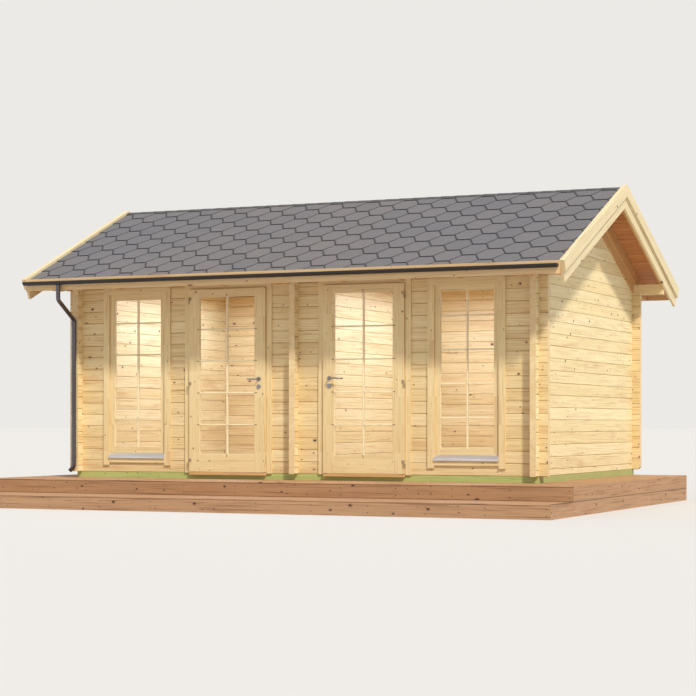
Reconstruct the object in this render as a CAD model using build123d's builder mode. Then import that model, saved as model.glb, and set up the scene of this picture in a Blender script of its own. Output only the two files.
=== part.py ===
"""Log cabin with two rooms on a two-level timber deck. All sizes are in millimetres.

X runs along the ridge with 0 in the middle, Y runs from front to back with 0 in the middle of the
whole depth, and Z is up with 0 on the ground.
"""
from build123d import *
from math import cos, radians, sin, tan
import os

# Logs and walls
log_height = 135.0          # one course
log_thickness = 70.0
log_bevel = 7.0             # arris taken off each long edge, two of them make the V joint
log_joint = 0.4             # play between courses and in the corner notches
log_end = 100.0             # how far a log runs past the wall it crosses
courses = 17                # courses in the front and back walls
house_width = 5780.0        # outer face to outer face of the gable walls
house_depth = 3690.0        # outer face to outer face of the front and back walls
top_log_rounding = 45.0     # lower corner of the long top logs
cut_past = 5.0              # how far a cutting shape runs past what it cuts

# Deck, foundation and floor
step_height = 150.0         # ground to the top of the lower level
deck_rise = 156.0           # lower level to the platform
platform_front = 868.0      # front wall to the platform's upright boards
step_depth = 745.0
deck_side = 660.0           # gable wall to the deck's side
deck_back = 40.0            # back wall to the deck's back edge
deck_board = 28.0
deck_nosing = 2.0           # deck boards past the front fascias
deck_lip = 10.0             # thickness of the first board where it laps the front fascia
fascia_board = 22.0         # thickness of the deck's upright boards
joist_width = 45.0
joist_spacing = 660.0
foundation_height = 70.0
floor_board = 19.0
floor_joist_spacing = 560.0
floor_gap = 2.0             # floor boards to the walls

# Shares of the front wall that doors, windows and their trims leave free
middle_share = 0.34028      # from the middle of the cabin to a door
pier_share = 0.22801        # from a door to its window, the rest is at the corner

# Doors
leaf_width = 980.0
leaf_thickness = 40.0
leaf_lift = 13.0            # wall foot to the leaf's lower edge
leaf_lap = 18.0             # leaf over the edge of the opening and of the frame's head
stile_width = 132.0
top_rail = 88.0
bottom_rail = 201.0
door_frame = 28.0           # thickness of the jambs
door_head = 60.0            # height of the frame's head
door_trim_width = 66.0
threshold_height = 7.0
threshold_front = 48.0      # how far the threshold reaches past the wall
threshold_nose = 30.0       # height of its front over the foundation beam
running_gap = 5.0           # between a moving piece and what it passes
door_glass = 14.0
hinge_radius = 7.0
hinge_half = 38.0           # height of one knuckle
hinge_plate = 2.5
hinge_reach = 30.0
hinge_foot = 125.0          # wall foot to the lowest hinge
hinge_middle = 1010.0       # wall foot to the middle hinge
hinge_top = 128.0           # leaf's upper edge to the highest hinge
knuckle_play = 0.5          # half of the gap between the two knuckles
lever_level = 1076.0
lever_backset = 78.0        # leaf edge to the spindle
lever_radius = 8.5
lever_stand = 46.0          # leaf face to the middle of the grip
lever_length = 128.0
lever_return = 24.0         # end of the grip, turned back to the leaf
lever_bend = 15.0
spindle_square = 8.0
spindle_hole = 11.0         # radius of the hole through the leaf
spindle_bite = 1.0          # how far the spindle and the neck run into each other
neck_play = 0.5             # between the lever's neck and its rose
rose_radius = 25.0
rose_thickness = 8.0
lock_drop = 86.0            # spindle to the lock's escutcheon

# Windows
window_opening = 824.0
window_bottom_course = 1    # courses under the window
window_frame = 34.0
sash_bar = 64.0
sash_head_rail = 102.0
sash_foot_rail = 121.0
sash_depth = 44.0
window_glass_thickness = 14.0
window_trim_width = 78.0
trim_thickness = 18.0
window_trim_foot = 80.0     # wall foot to the end of the upright trims
window_trim_lap = 4.0       # trims past the frame's inner edge
apron_lift = 30.0           # end of the upright trims to the board under the sill
apron_height = 52.0         # board under the sill
sash_setback = 6.0          # wall's outer face to the sash
sill_height = 60.0
sill_reach = 34.0
sill_nose = 22.0            # upright front of the sill

# Roof
roof_pitch = 24.0
eaves_overhang = 510.0      # wall to the bargeboards' front corner
verge_overhang = 446.0      # gable wall to the outside of the bargeboards
rafter_depth = 150.0
rafter_width = 45.0
rafter_spacing = 690.0
roof_board = 22.0
shingle = 10.0
barge_rise = 25.0           # bargeboards above the shingles
barge_width = 145.0
barge_total = 247.0         # top of the cover board to the lower edge of the bargeboard
barge_cover = 125.0
barge_thickness = 28.0
eaves_board_height = 139.0
eaves_board = 18.0
ridge_width = 70.0
ridge_height = 180.0
cap_width = 60.0            # each wing of the ridge capping
gable_trim_width = 95.0
gutter_radius = 42.0
gutter_wall = 2.0
gutter_drop = 36.0          # top of the eaves board to the gutter's rim
gutter_play = 4.0           # end of the gutter to the bargeboard
pipe_radius = 25.0
pipe_wall = 1.8
pipe_inset = 29.0           # gable wall's outer face to the pipe on the wall
outlet_inset = 85.0         # gable wall's outer face to the gutter's outlet
outlet_drop = 177.0         # gutter to the swan neck's first bend
neck_drop = 388.0           # gutter to the swan neck's second bend
pipe_bend = 45.0
shoe_level = 60.0           # wall foot to the bend of the shoe
shoe_drop = 50.0
shoe_reach = 55.0
blocking_setback = 2.0      # wall's outer face to the boards between the rafters
blocking_board = 22.0
slab_gap = 1.0              # half of the gap between the two roof sides at the ridge
seat = 0.3                  # play between pieces that sit on each other

os.makedirs("parts", exist_ok=True)


def save(builder, name):
    """Label a finished piece and write it to its file."""
    builder.part.label = name
    export_step(builder.part, "parts/" + name + ".step")


# Levels
wall_foot = step_height + deck_rise + foundation_height
deck_top = step_height + deck_rise
wall_top = wall_foot + courses * log_height
half_course = log_height / 2
opening_courses = courses - 1
opening_head = wall_foot + opening_courses * log_height

# Places along X
gable_x = house_width / 2                               # outer face of a gable wall
verge_x = gable_x + verge_overhang                      # outside of the cover boards
barge_x = verge_x - 2 * barge_thickness                 # inside of the bargeboards
roof_x = barge_x - seat                                 # ends of boards and shingles
deck_x = gable_x + deck_side
log_x = gable_x + log_end

# Slope of the roof, measured from the rafters' undersides
slope = radians(roof_pitch)
rise = tan(slope)
top_offset = rafter_depth + roof_board + shingle + barge_rise
eaves_run = house_depth / 2 + eaves_overhang

# Places along Y
gutter_out = eaves_overhang + seat + 2 * gutter_radius
front_reach = platform_front + step_depth + deck_nosing
whole_depth = front_reach + house_depth + gutter_out
front_y = -whole_depth / 2 + front_reach                # outer face of the front wall
back_y = front_y + house_depth
ridge_y = front_y + house_depth / 2
bearing_z = wall_top - log_thickness * rise             # rafter underside at the outer face


def under(y):
    """Height of the rafters' undersides at a place y."""
    return bearing_z + (house_depth / 2 - abs(y - ridge_y)) * rise


def slab(low, high, side, x_from, x_to, eave_y, ridge_gap=0.0):
    """Sloping layer of one roof side between two heights over the rafters' undersides."""
    lift_low = low / cos(slope)
    lift_high = high / cos(slope)
    y_top = ridge_y + side * ridge_gap
    y_eave = ridge_y + side * eave_y
    with BuildSketch(Plane.YZ.offset(x_from)) as outline:
        with BuildLine():
            Polyline(
                (y_top, under(y_top) + lift_low),
                (y_eave, under(y_eave) + lift_low),
                (y_eave, under(y_eave) + lift_high),
                (y_top, under(y_top) + lift_high),
                close=True,
            )
        make_face()
    extrude(outline.sketch, amount=x_to - x_from)


def box(x_from, x_to, y_from, y_to, z_from, z_to, mode=Mode.ADD):
    """Block between two corners."""
    with BuildSketch(Plane.XY.offset(z_from)) as outline:
        with Locations(((x_from + x_to) / 2, (y_from + y_to) / 2)):
            Rectangle(x_to - x_from, y_to - y_from)
    extrude(outline.sketch, amount=z_to - z_from, mode=mode)


def boxes(spans, y_from, y_to, z_from, z_to, mode=Mode.ADD):
    """Blocks of one height and depth at several (from, to) spans along X."""
    with BuildSketch(Plane.XY.offset(z_from)) as outline:
        for x_from, x_to in spans:
            with Locations(((x_from + x_to) / 2, (y_from + y_to) / 2)):
                Rectangle(x_to - x_from, y_to - y_from)
    extrude(outline.sketch, amount=z_to - z_from, mode=mode)


def log_section(height=log_height):
    """Outline of one log with its four arrises taken off."""
    w = log_thickness / 2
    h = height / 2 - log_joint / 2
    b = log_bevel
    Polygon(
        (-w + b, -h), (w - b, -h), (w, -h + b), (w, h - b),
        (w - b, h), (-w + b, h), (-w, h - b), (-w, -h + b),
        align=None,
    )


def logs_along_x(x_from, x_to, wall_y, first, last):
    """Courses first to last of a wall along X whose outer or inner face starts at wall_y."""
    with BuildSketch(Plane.YZ.offset(x_from)) as outline:
        for n in range(first, last):
            with Locations((wall_y + log_thickness / 2, wall_foot + (n + 0.5) * log_height)):
                log_section()
    extrude(outline.sketch, amount=x_to - x_from)


def notch_along_x(cross_x, wall_y, first, last):
    """Upper half of each course taken out where a crossing wall stands at cross_x."""
    width = log_thickness + 2 * log_joint
    depth = half_course + log_joint
    with BuildSketch(Plane.YZ.offset(cross_x - width / 2)) as outline:
        for n in range(first, last):
            top = wall_foot + (n + 1) * log_height
            with Locations((wall_y + log_thickness / 2, top - depth / 2)):
                Rectangle(log_thickness + 2 * cut_past, depth)
    extrude(outline.sketch, amount=width, mode=Mode.SUBTRACT)


# Deck
deck_front_y = front_y - platform_front
step_front_y = deck_front_y - step_depth
deck_back_y = back_y + deck_back
joist_end = fascia_board + seat
joist_count = int(2 * (deck_x - joist_end) / joist_spacing) + 2
joist_reach = deck_x - joist_end - joist_width / 2
joist_pitch = 2 * joist_reach / (joist_count - 1)
joist_places = [-joist_reach + n * joist_pitch for n in range(joist_count)]
joist_spans = [(x - joist_width / 2, x + joist_width / 2) for x in joist_places]

with BuildPart() as deck_joists:
    boxes(joist_spans, deck_front_y + joist_end, deck_back_y - joist_end,
          0, deck_top - deck_board - seat)
    boxes(joist_spans, step_front_y + joist_end, deck_front_y - seat,
          0, step_height - deck_board - seat)
save(deck_joists, "deck_joists")

frame_x = deck_x - fascia_board                         # inside of the side fascias


def boarding(y_front, y_back, top):
    """Boards of one deck level, with a lip over the front fascia."""
    box(-frame_x + seat, frame_x - seat, y_front + joist_end, y_back, top - deck_board, top)
    box(-frame_x + seat, frame_x - seat, y_front, y_front + joist_end, top - deck_lip, top)
    box(-deck_x, deck_x, y_front - deck_nosing, y_front + fascia_board, top - deck_lip, top)


with BuildPart() as deck_boards:
    boarding(deck_front_y, deck_back_y - joist_end, deck_top)
save(deck_boards, "deck_boards")

with BuildPart() as step_boards:
    boarding(step_front_y, deck_front_y - seat, step_height)
save(step_boards, "step_boards")

side_spans = [(-deck_x, -frame_x), (frame_x, deck_x)]
upper_foot = step_height + seat
with BuildPart() as deck_fascias:
    # front, back and sides of the platform
    box(-deck_x, deck_x, deck_front_y, deck_front_y + fascia_board,
        upper_foot, deck_top - deck_lip - seat)
    box(-deck_x, deck_x, deck_back_y - fascia_board, deck_back_y, upper_foot, deck_top)
    boxes(side_spans, deck_front_y + joist_end, deck_back_y - joist_end, upper_foot, deck_top)
    # lower boards all round
    box(-deck_x, deck_x, step_front_y, step_front_y + fascia_board,
        0, step_height - deck_lip - seat)
    box(-deck_x, deck_x, deck_back_y - fascia_board, deck_back_y, 0, step_height)
    boxes(side_spans, deck_front_y, deck_back_y - joist_end, 0, step_height)
    boxes(side_spans, step_front_y + joist_end, deck_front_y - seat, 0, step_height)
save(deck_fascias, "deck_fascias")

# Foundation beams under the walls, with the floor's joists between them
inner_front = front_y + log_thickness
inner_back = back_y - log_thickness
room_span = gable_x - 1.5 * log_thickness
floor_joists = int(room_span / floor_joist_spacing)
with BuildPart() as foundation_beams:
    beam_top = wall_foot - seat
    box(-gable_x, gable_x, front_y, inner_front, deck_top, beam_top)
    box(-gable_x, gable_x, inner_back, back_y, deck_top, beam_top)
    places = [-gable_x + log_thickness / 2, 0.0, gable_x - log_thickness / 2]
    places += [side * (log_thickness / 2 + room_span * n / (floor_joists + 1))
               for side in (-1, 1) for n in range(1, floor_joists + 1)]
    spans = [(x - log_thickness / 2, x + log_thickness / 2) for x in places]
    boxes(spans, inner_front + seat, inner_back - seat, deck_top, beam_top)
save(foundation_beams, "foundation_beams")

room_x = (log_thickness / 2 + floor_gap, gable_x - log_thickness - floor_gap)
rooms = [(-room_x[1], -room_x[0]), room_x]
with BuildPart() as floor_boards:
    boxes(rooms, inner_front + floor_gap, inner_back - floor_gap, wall_foot, wall_foot + floor_board)
save(floor_boards, "floor_boards")

# Front wall
cross_x = gable_x - log_thickness / 2                   # middle of a gable wall
door_opening = leaf_width - 2 * leaf_lap
door_half = leaf_width / 2 + running_gap + door_trim_width
window_half = window_opening / 2 - window_frame - window_trim_lap + window_trim_width
free_width = gable_x - 2 * (door_half + window_half)
door_offset = middle_share * free_width + door_half
window_offset = door_offset + door_half + pier_share * free_width + window_half
door_edge_in = door_offset - door_opening / 2
door_edge_out = door_offset + door_opening / 2
window_edge_in = window_offset - window_opening / 2
window_edge_out = window_offset + window_opening / 2

for side, name in ((-1, "front_wall_left"), (1, "front_wall_right")):
    with BuildPart() as front_wall_side:
        corner = sorted((side * window_edge_out, side * log_x))
        pier = sorted((side * door_edge_out, side * window_edge_in))
        foot = sorted((side * door_edge_out, side * log_x))
        logs_along_x(*foot, front_y, 0, window_bottom_course)
        logs_along_x(*corner, front_y, window_bottom_course, opening_courses)
        logs_along_x(*pier, front_y, window_bottom_course, opening_courses)
        notch_along_x(side * cross_x, front_y, 0, opening_courses)
    save(front_wall_side, name)

with BuildPart() as front_wall_centre:
    logs_along_x(-door_edge_in, door_edge_in, front_y, 0, opening_courses)
    notch_along_x(0, front_y, 0, opening_courses)
save(front_wall_centre, "front_wall_centre")


def top_log(wall_y, side):
    """Long top log with its bevel to the slope and the lower corners of its ends rounded."""
    logs_along_x(-roof_x, roof_x, wall_y, courses - 1, courses)
    ends = edges().filter_by(Axis.Y).group_by(Axis.Z)[0]
    fillet(ends, top_log_rounding)
    with BuildSketch(Plane.YZ.offset(-roof_x)) as outline:
        near = ridge_y + side * (house_depth / 2 + cut_past)
        far = ridge_y + side * (house_depth / 2 - log_thickness - cut_past)
        with BuildLine():
            Polyline(
                (near, under(near) - seat), (far, under(far) - seat),
                (far, wall_top + log_height), (near, wall_top + log_height), close=True,
            )
        make_face()
    extrude(outline.sketch, amount=2 * roof_x, mode=Mode.SUBTRACT)
    for x in (-cross_x, 0, cross_x):
        notch_along_x(x, wall_y, courses - 1, courses)


with BuildPart() as front_wall_top:
    top_log(front_y, -1)
save(front_wall_top, "front_wall_top")

with BuildPart() as back_wall:
    logs_along_x(-log_x, log_x, inner_back, 0, opening_courses)
    for x in (-cross_x, 0, cross_x):
        notch_along_x(x, inner_back, 0, opening_courses)
    top_log(inner_back, 1)
save(back_wall, "back_wall")

# Gable walls and the partition, half a course up, cut to the slope
gable_top = under(ridge_y) + rafter_depth / cos(slope)
gable_courses = int((gable_top - wall_foot - half_course) / log_height) + 1


def wall_along_y(middle_x):
    """Wall of logs from front to back, one half log at its foot, its top cut to the roof boards."""
    y_from = front_y - log_end
    y_to = back_y + log_end
    with BuildSketch(Plane.XZ.offset(-y_from)) as outline:
        with Locations((middle_x, wall_foot + half_course / 2)):
            log_section(half_course)
        for n in range(gable_courses):
            with Locations((middle_x, wall_foot + half_course + (n + 0.5) * log_height)):
                log_section()
    extrude(outline.sketch, amount=y_from - y_to)
    # the upper half of each course goes where the front and back walls cross
    width = log_thickness + 2 * log_joint
    depth = half_course + log_joint
    for wall_y in (front_y, inner_back):
        with BuildSketch(Plane.XZ.offset(-(wall_y - log_joint))) as outline:
            with Locations((middle_x, wall_foot + half_course / 2)):
                Rectangle(log_thickness + 2 * cut_past, half_course)
            for n in range(courses):
                top = wall_foot + half_course + (n + 1) * log_height
                with Locations((middle_x, top - depth / 2)):
                    Rectangle(log_thickness + 2 * cut_past, depth)
        extrude(outline.sketch, amount=-width, mode=Mode.SUBTRACT)
    # sloping cut under the roof boards, and under the rafters outside the walls
    lift = rafter_depth / cos(slope) - seat
    far = house_depth
    with BuildSketch(Plane.YZ.offset(middle_x - log_thickness)) as outline:
        with BuildLine():
            Polyline(
                (ridge_y - far, under(ridge_y - far) + lift), (ridge_y, under(ridge_y) + lift),
                (ridge_y + far, under(ridge_y + far) + lift),
                (ridge_y + far, gable_top + 3 * log_height),
                (ridge_y - far, gable_top + 3 * log_height), close=True,
            )
        make_face()
    extrude(outline.sketch, amount=2 * log_thickness, mode=Mode.SUBTRACT)
    # seat of the ridge beam
    box(middle_x - log_thickness, middle_x + log_thickness,
        ridge_y - ridge_width / 2 - seat, ridge_y + ridge_width / 2 + seat,
        ridge_foot - seat, gable_top + log_height, mode=Mode.SUBTRACT)


ridge_top = under(ridge_y + ridge_width / 2) + rafter_depth / cos(slope) - seat
ridge_foot = ridge_top - ridge_height
for middle_x, name in ((-cross_x, "left_gable_wall"), (0, "partition_wall"),
                       (cross_x, "right_gable_wall")):
    with BuildPart() as cross_wall:
        wall_along_y(middle_x)
    save(cross_wall, name)

# Eaves boards stand level with the bargeboards' front corners
eaves_top = under(ridge_y - eaves_run) + top_offset / cos(slope)
eaves_foot = eaves_top - eaves_board_height

# Roof timbers
with BuildPart() as ridge_beam:
    box(-roof_x, roof_x, ridge_y - ridge_width / 2, ridge_y + ridge_width / 2,
        ridge_foot, ridge_top)
save(ridge_beam, "ridge_beam")

rafter_eave = eaves_run - eaves_board - seat
verge_rafter = roof_x - rafter_width
inner_reach = gable_x - log_thickness - seat - rafter_width
rafter_count = int(inner_reach / rafter_spacing)
first_rafter = log_thickness / 2 + seat
rafter_pitch = (inner_reach - first_rafter) / rafter_count
rafter_starts = [verge_rafter, gable_x + seat]
rafter_starts += [first_rafter + n * rafter_pitch for n in range(rafter_count + 1)]
with BuildPart() as rafters:
    for x in rafter_starts:
        for side in (-1, 1):
            slab(0, rafter_depth - seat, side, x, x + rafter_width, rafter_eave,
                 ridge_width / 2 + seat)
    mirror(about=Plane.YZ)
    # tails cut level with the eaves boards' lower edges
    box(-verge_x, verge_x, ridge_y - eaves_run, ridge_y + eaves_run,
        eaves_foot - log_height, eaves_foot, mode=Mode.SUBTRACT)
save(rafters, "rafters")

board_eave = rafter_eave
with BuildPart() as roof_boards:
    for side in (-1, 1):
        slab(rafter_depth, rafter_depth + roof_board, side, -roof_x, roof_x,
             board_eave, slab_gap)
save(roof_boards, "roof_boards")

shingle_foot = rafter_depth + roof_board
with BuildPart() as roof_shingles:
    for side in (-1, 1):
        slab(shingle_foot + seat, shingle_foot + shingle, side, -roof_x, roof_x,
             board_eave, slab_gap)
save(roof_shingles, "roof_shingles")

with BuildPart() as ridge_capping:
    lift_low = (shingle_foot + shingle + seat) / cos(slope)
    lift_high = (shingle_foot + 2 * shingle) / cos(slope)
    wing = cap_width * cos(slope)
    with BuildSketch(Plane.YZ.offset(-roof_x)):
        with BuildLine():
            Polyline(
                (ridge_y - wing, under(ridge_y - wing) + lift_low),
                (ridge_y, under(ridge_y) + lift_low),
                (ridge_y + wing, under(ridge_y + wing) + lift_low),
                (ridge_y + wing, under(ridge_y + wing) + lift_high),
                (ridge_y, under(ridge_y) + lift_high),
                (ridge_y - wing, under(ridge_y - wing) + lift_high), close=True,
            )
        make_face()
    extrude(amount=2 * roof_x)
save(ridge_capping, "ridge_capping")


def sloping_board(low, high, side, x_from, x_to):
    """Board along the verge, mitred at the peak, its foot cut square to the slope."""
    lift_low = low / cos(slope)
    lift_high = high / cos(slope)
    y_top = ridge_y + side * seat
    foot_high = eaves_run - (top_offset - high) * sin(slope)
    foot_low = eaves_run - (top_offset - low) * sin(slope)
    y_high = ridge_y + side * foot_high
    y_low = ridge_y + side * foot_low
    with BuildSketch(Plane.YZ.offset(x_from)) as outline:
        with BuildLine():
            Polyline(
                (y_top, under(y_top) + lift_low), (y_low, under(y_low) + lift_low),
                (y_high, under(y_high) + lift_high), (y_top, under(y_top) + lift_high),
                close=True,
            )
        make_face()
    extrude(outline.sketch, amount=x_to - x_from)


barge_foot = top_offset - barge_total
with BuildPart() as bargeboards:
    for side in (-1, 1):
        sloping_board(barge_foot, barge_foot + barge_width, side,
                      barge_x, barge_x + barge_thickness)
    mirror(about=Plane.YZ)
save(bargeboards, "bargeboards")

with BuildPart() as bargeboard_covers:
    for side in (-1, 1):
        sloping_board(top_offset - barge_cover, top_offset, side,
                      barge_x + barge_thickness + seat, verge_x)
        # packing behind the cover board, down to the bargeboard
        sloping_board(barge_foot + barge_width + seat, top_offset, side,
                      barge_x, barge_x + barge_thickness + seat)
    mirror(about=Plane.YZ)
save(bargeboard_covers, "bargeboard_covers")

with BuildPart() as gable_trims:
    for side in (-1, 1):
        slab(-gable_trim_width, -seat, side, gable_x + seat, gable_x + seat + trim_thickness,
             house_depth / 2 - log_thickness - seat, ridge_width / 2 + seat)
    mirror(about=Plane.YZ)
save(gable_trims, "gable_trims")

with BuildPart() as eaves_boards:
    for side in (-1, 1):
        y_pair = sorted((ridge_y + side * (eaves_run - eaves_board), ridge_y + side * eaves_run))
        box(-roof_x, roof_x, *y_pair, eaves_foot, eaves_top)
save(eaves_boards, "eaves_boards")

# Boards that close the wall top between the rafters
with BuildPart() as eaves_blocking:
    for side in (-1, 1):
        slab(seat, rafter_depth - seat, side, -gable_x + log_thickness + seat,
             gable_x - log_thickness - seat, house_depth / 2 - blocking_setback,
             house_depth / 2 - blocking_setback - blocking_board)
    spans = []
    for x in rafter_starts[2:]:
        spans += [(x - seat, x + rafter_width + seat), (-x - rafter_width - seat, -x + seat)]
    spans.append((-first_rafter, first_rafter))
    boxes(spans, front_y - log_thickness, back_y + log_thickness, opening_head, gable_top,
          mode=Mode.SUBTRACT)
save(eaves_blocking, "eaves_blocking")

# Gutters and downpipes
rim_z = eaves_top - gutter_drop
gutter_x = roof_x - gutter_play
outlet_x = -(gable_x - outlet_inset)
with BuildPart() as gutters:
    for side in (-1, 1):
        middle_y = ridge_y + side * (eaves_run + seat + gutter_radius)
        with BuildSketch(Plane.YZ.offset(-gutter_x)):
            with Locations((middle_y, rim_z)):
                Circle(gutter_radius)
                Circle(gutter_radius - gutter_wall, mode=Mode.SUBTRACT)
            with Locations((middle_y, rim_z + gutter_radius / 2)):
                Rectangle(2 * gutter_radius, gutter_radius, mode=Mode.SUBTRACT)
        extrude(amount=2 * gutter_x)
        for x in (-gutter_x, gutter_x - gutter_wall):
            with BuildSketch(Plane.YZ.offset(x)):
                with Locations((middle_y, rim_z)):
                    Circle(gutter_radius)
                with Locations((middle_y, rim_z + gutter_radius / 2)):
                    Rectangle(2 * gutter_radius, gutter_radius, mode=Mode.SUBTRACT)
            extrude(amount=gutter_wall)
save(gutters, "gutters")

pipe_x = -(gable_x - pipe_inset)
with BuildPart() as downpipes:
    for side in (-1, 1):
        outlet_y = ridge_y + side * (eaves_run + seat + gutter_radius)
        wall_pipe_y = ridge_y + side * (house_depth / 2 + log_end + pipe_radius + seat)
        with BuildLine() as route:
            FilletPolyline(
                (outlet_x, outlet_y, rim_z - gutter_radius - seat),
                (outlet_x, outlet_y, rim_z - gutter_radius - outlet_drop),
                (pipe_x, wall_pipe_y, rim_z - gutter_radius - neck_drop),
                (pipe_x, wall_pipe_y, wall_foot + shoe_level),
                (pipe_x - shoe_reach, wall_pipe_y, wall_foot + shoe_level - shoe_drop),
                radius=pipe_bend,
            )
        with BuildSketch(Plane(route.line @ 0, z_dir=route.line % 0)):
            Circle(pipe_radius)
            Circle(pipe_radius - pipe_wall, mode=Mode.SUBTRACT)
        sweep(path=route.line, transition=Transition.ROUND)
save(downpipes, "downpipes")

# Windows
opening_foot = wall_foot + window_bottom_course * log_height


def ring(x_mid, width, bar, foot_rail, head_rail, y_from, y_to, z_from, z_to):
    """Frame of four bars: uprights for the whole height, rails between them."""
    left = x_mid - width / 2
    right = x_mid + width / 2
    box(left, left + bar, y_from, y_to, z_from, z_to)
    box(right - bar, right, y_from, y_to, z_from, z_to)
    box(left + bar + seat, right - bar - seat, y_from, y_to, z_from, z_from + foot_rail)
    box(left + bar + seat, right - bar - seat, y_from, y_to, z_to - head_rail, z_to)


window_sides = (-window_offset, window_offset)
frame_width = window_opening - 2 * seat
frame_foot = opening_foot + seat
frame_head = opening_head - seat
sash_width = frame_width - 2 * window_frame - 2 * seat
sash_foot = frame_foot + window_frame + seat
sash_head = frame_head - window_frame - seat
sash_front = front_y + sash_setback
with BuildPart() as window_frames:
    for x in window_sides:
        ring(x, frame_width, window_frame, window_frame, window_frame,
             front_y, inner_front, frame_foot, frame_head)
        ring(x, sash_width, sash_bar, sash_foot_rail, sash_head_rail,
             sash_front, sash_front + sash_depth, sash_foot, sash_head)
save(window_frames, "window_frames")

pane_y = sash_front + (sash_depth - window_glass_thickness) / 2
pane_half = sash_width / 2 - sash_bar - seat
with BuildPart() as window_glass:
    for x in window_sides:
        box(x - pane_half, x + pane_half, pane_y, pane_y + window_glass_thickness,
            sash_foot + sash_foot_rail + seat, sash_head - sash_head_rail - seat)
save(window_glass, "window_glass")

trim_foot = wall_foot + window_trim_foot
apron_foot = trim_foot + apron_lift
sill_foot = apron_foot + apron_height + seat
trim_y = front_y - seat
with BuildPart() as window_trims:
    for x in window_sides:
        spans = [(x - window_half, x - window_half + window_trim_width),
                 (x + window_half - window_trim_width, x + window_half)]
        boxes(spans, trim_y - trim_thickness, trim_y, trim_foot, opening_head)
        between = (x - window_half + window_trim_width + seat,
                   x + window_half - window_trim_width - seat)
        box(*between, trim_y - trim_thickness, trim_y, opening_head - window_trim_width, opening_head)
        box(*between, trim_y - trim_thickness, trim_y, apron_foot, apron_foot + apron_height)
save(window_trims, "window_trims")

with BuildPart() as window_sills:
    for x in window_sides:
        half = window_half - window_trim_width - seat
        with BuildSketch(Plane.YZ.offset(x - half)):
            with BuildLine():
                Polyline(
                    (front_y - seat, sill_foot), (front_y - sill_reach, sill_foot),
                    (front_y - sill_reach, sill_foot + sill_nose),
                    (front_y - seat, sill_foot + sill_height),
                    close=True,
                )
            make_face()
        extrude(amount=2 * half)
save(window_sills, "window_sills")

# Door frames
door_sides = (-door_offset, door_offset)
jamb_foot = wall_foot + threshold_height + seat
half_opening = door_opening / 2 - seat
with BuildPart() as door_frames:
    for x in door_sides:
        jambs = [(x - half_opening, x - half_opening + door_frame),
                 (x + half_opening - door_frame, x + half_opening)]
        boxes(jambs, front_y, inner_front, jamb_foot, opening_head - seat)
        box(x - half_opening + door_frame + seat, x + half_opening - door_frame - seat,
            front_y, inner_front, opening_head - door_head, opening_head - seat)
save(door_frames, "door_frames")

with BuildPart() as door_thresholds:
    for x in door_sides:
        top = wall_foot + threshold_height
        box(x - half_opening, x + half_opening, front_y - threshold_front, inner_front,
            wall_foot, top)
        # front part under the leaf, on the foundation beam's face
        box(x - leaf_width / 2, x + leaf_width / 2, front_y - threshold_front, front_y - seat,
            top - threshold_nose, top)
save(door_thresholds, "door_thresholds")

leaf_back = front_y - running_gap
leaf_front = leaf_back - leaf_thickness
leaf_foot = wall_foot + leaf_lift
leaf_head = opening_head - door_head + leaf_lap
head_trim = leaf_head + running_gap + door_trim_width
with BuildPart() as door_trims:
    for x in door_sides:
        near = door_half - door_trim_width
        spans = [(x - door_half, x - near), (x + near, x + door_half)]
        boxes(spans, trim_y - trim_thickness, trim_y, wall_foot, head_trim)
        box(x - near + seat, x + near - seat, trim_y - trim_thickness, trim_y,
            leaf_head + running_gap, head_trim)
save(door_trims, "door_trims")

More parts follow.
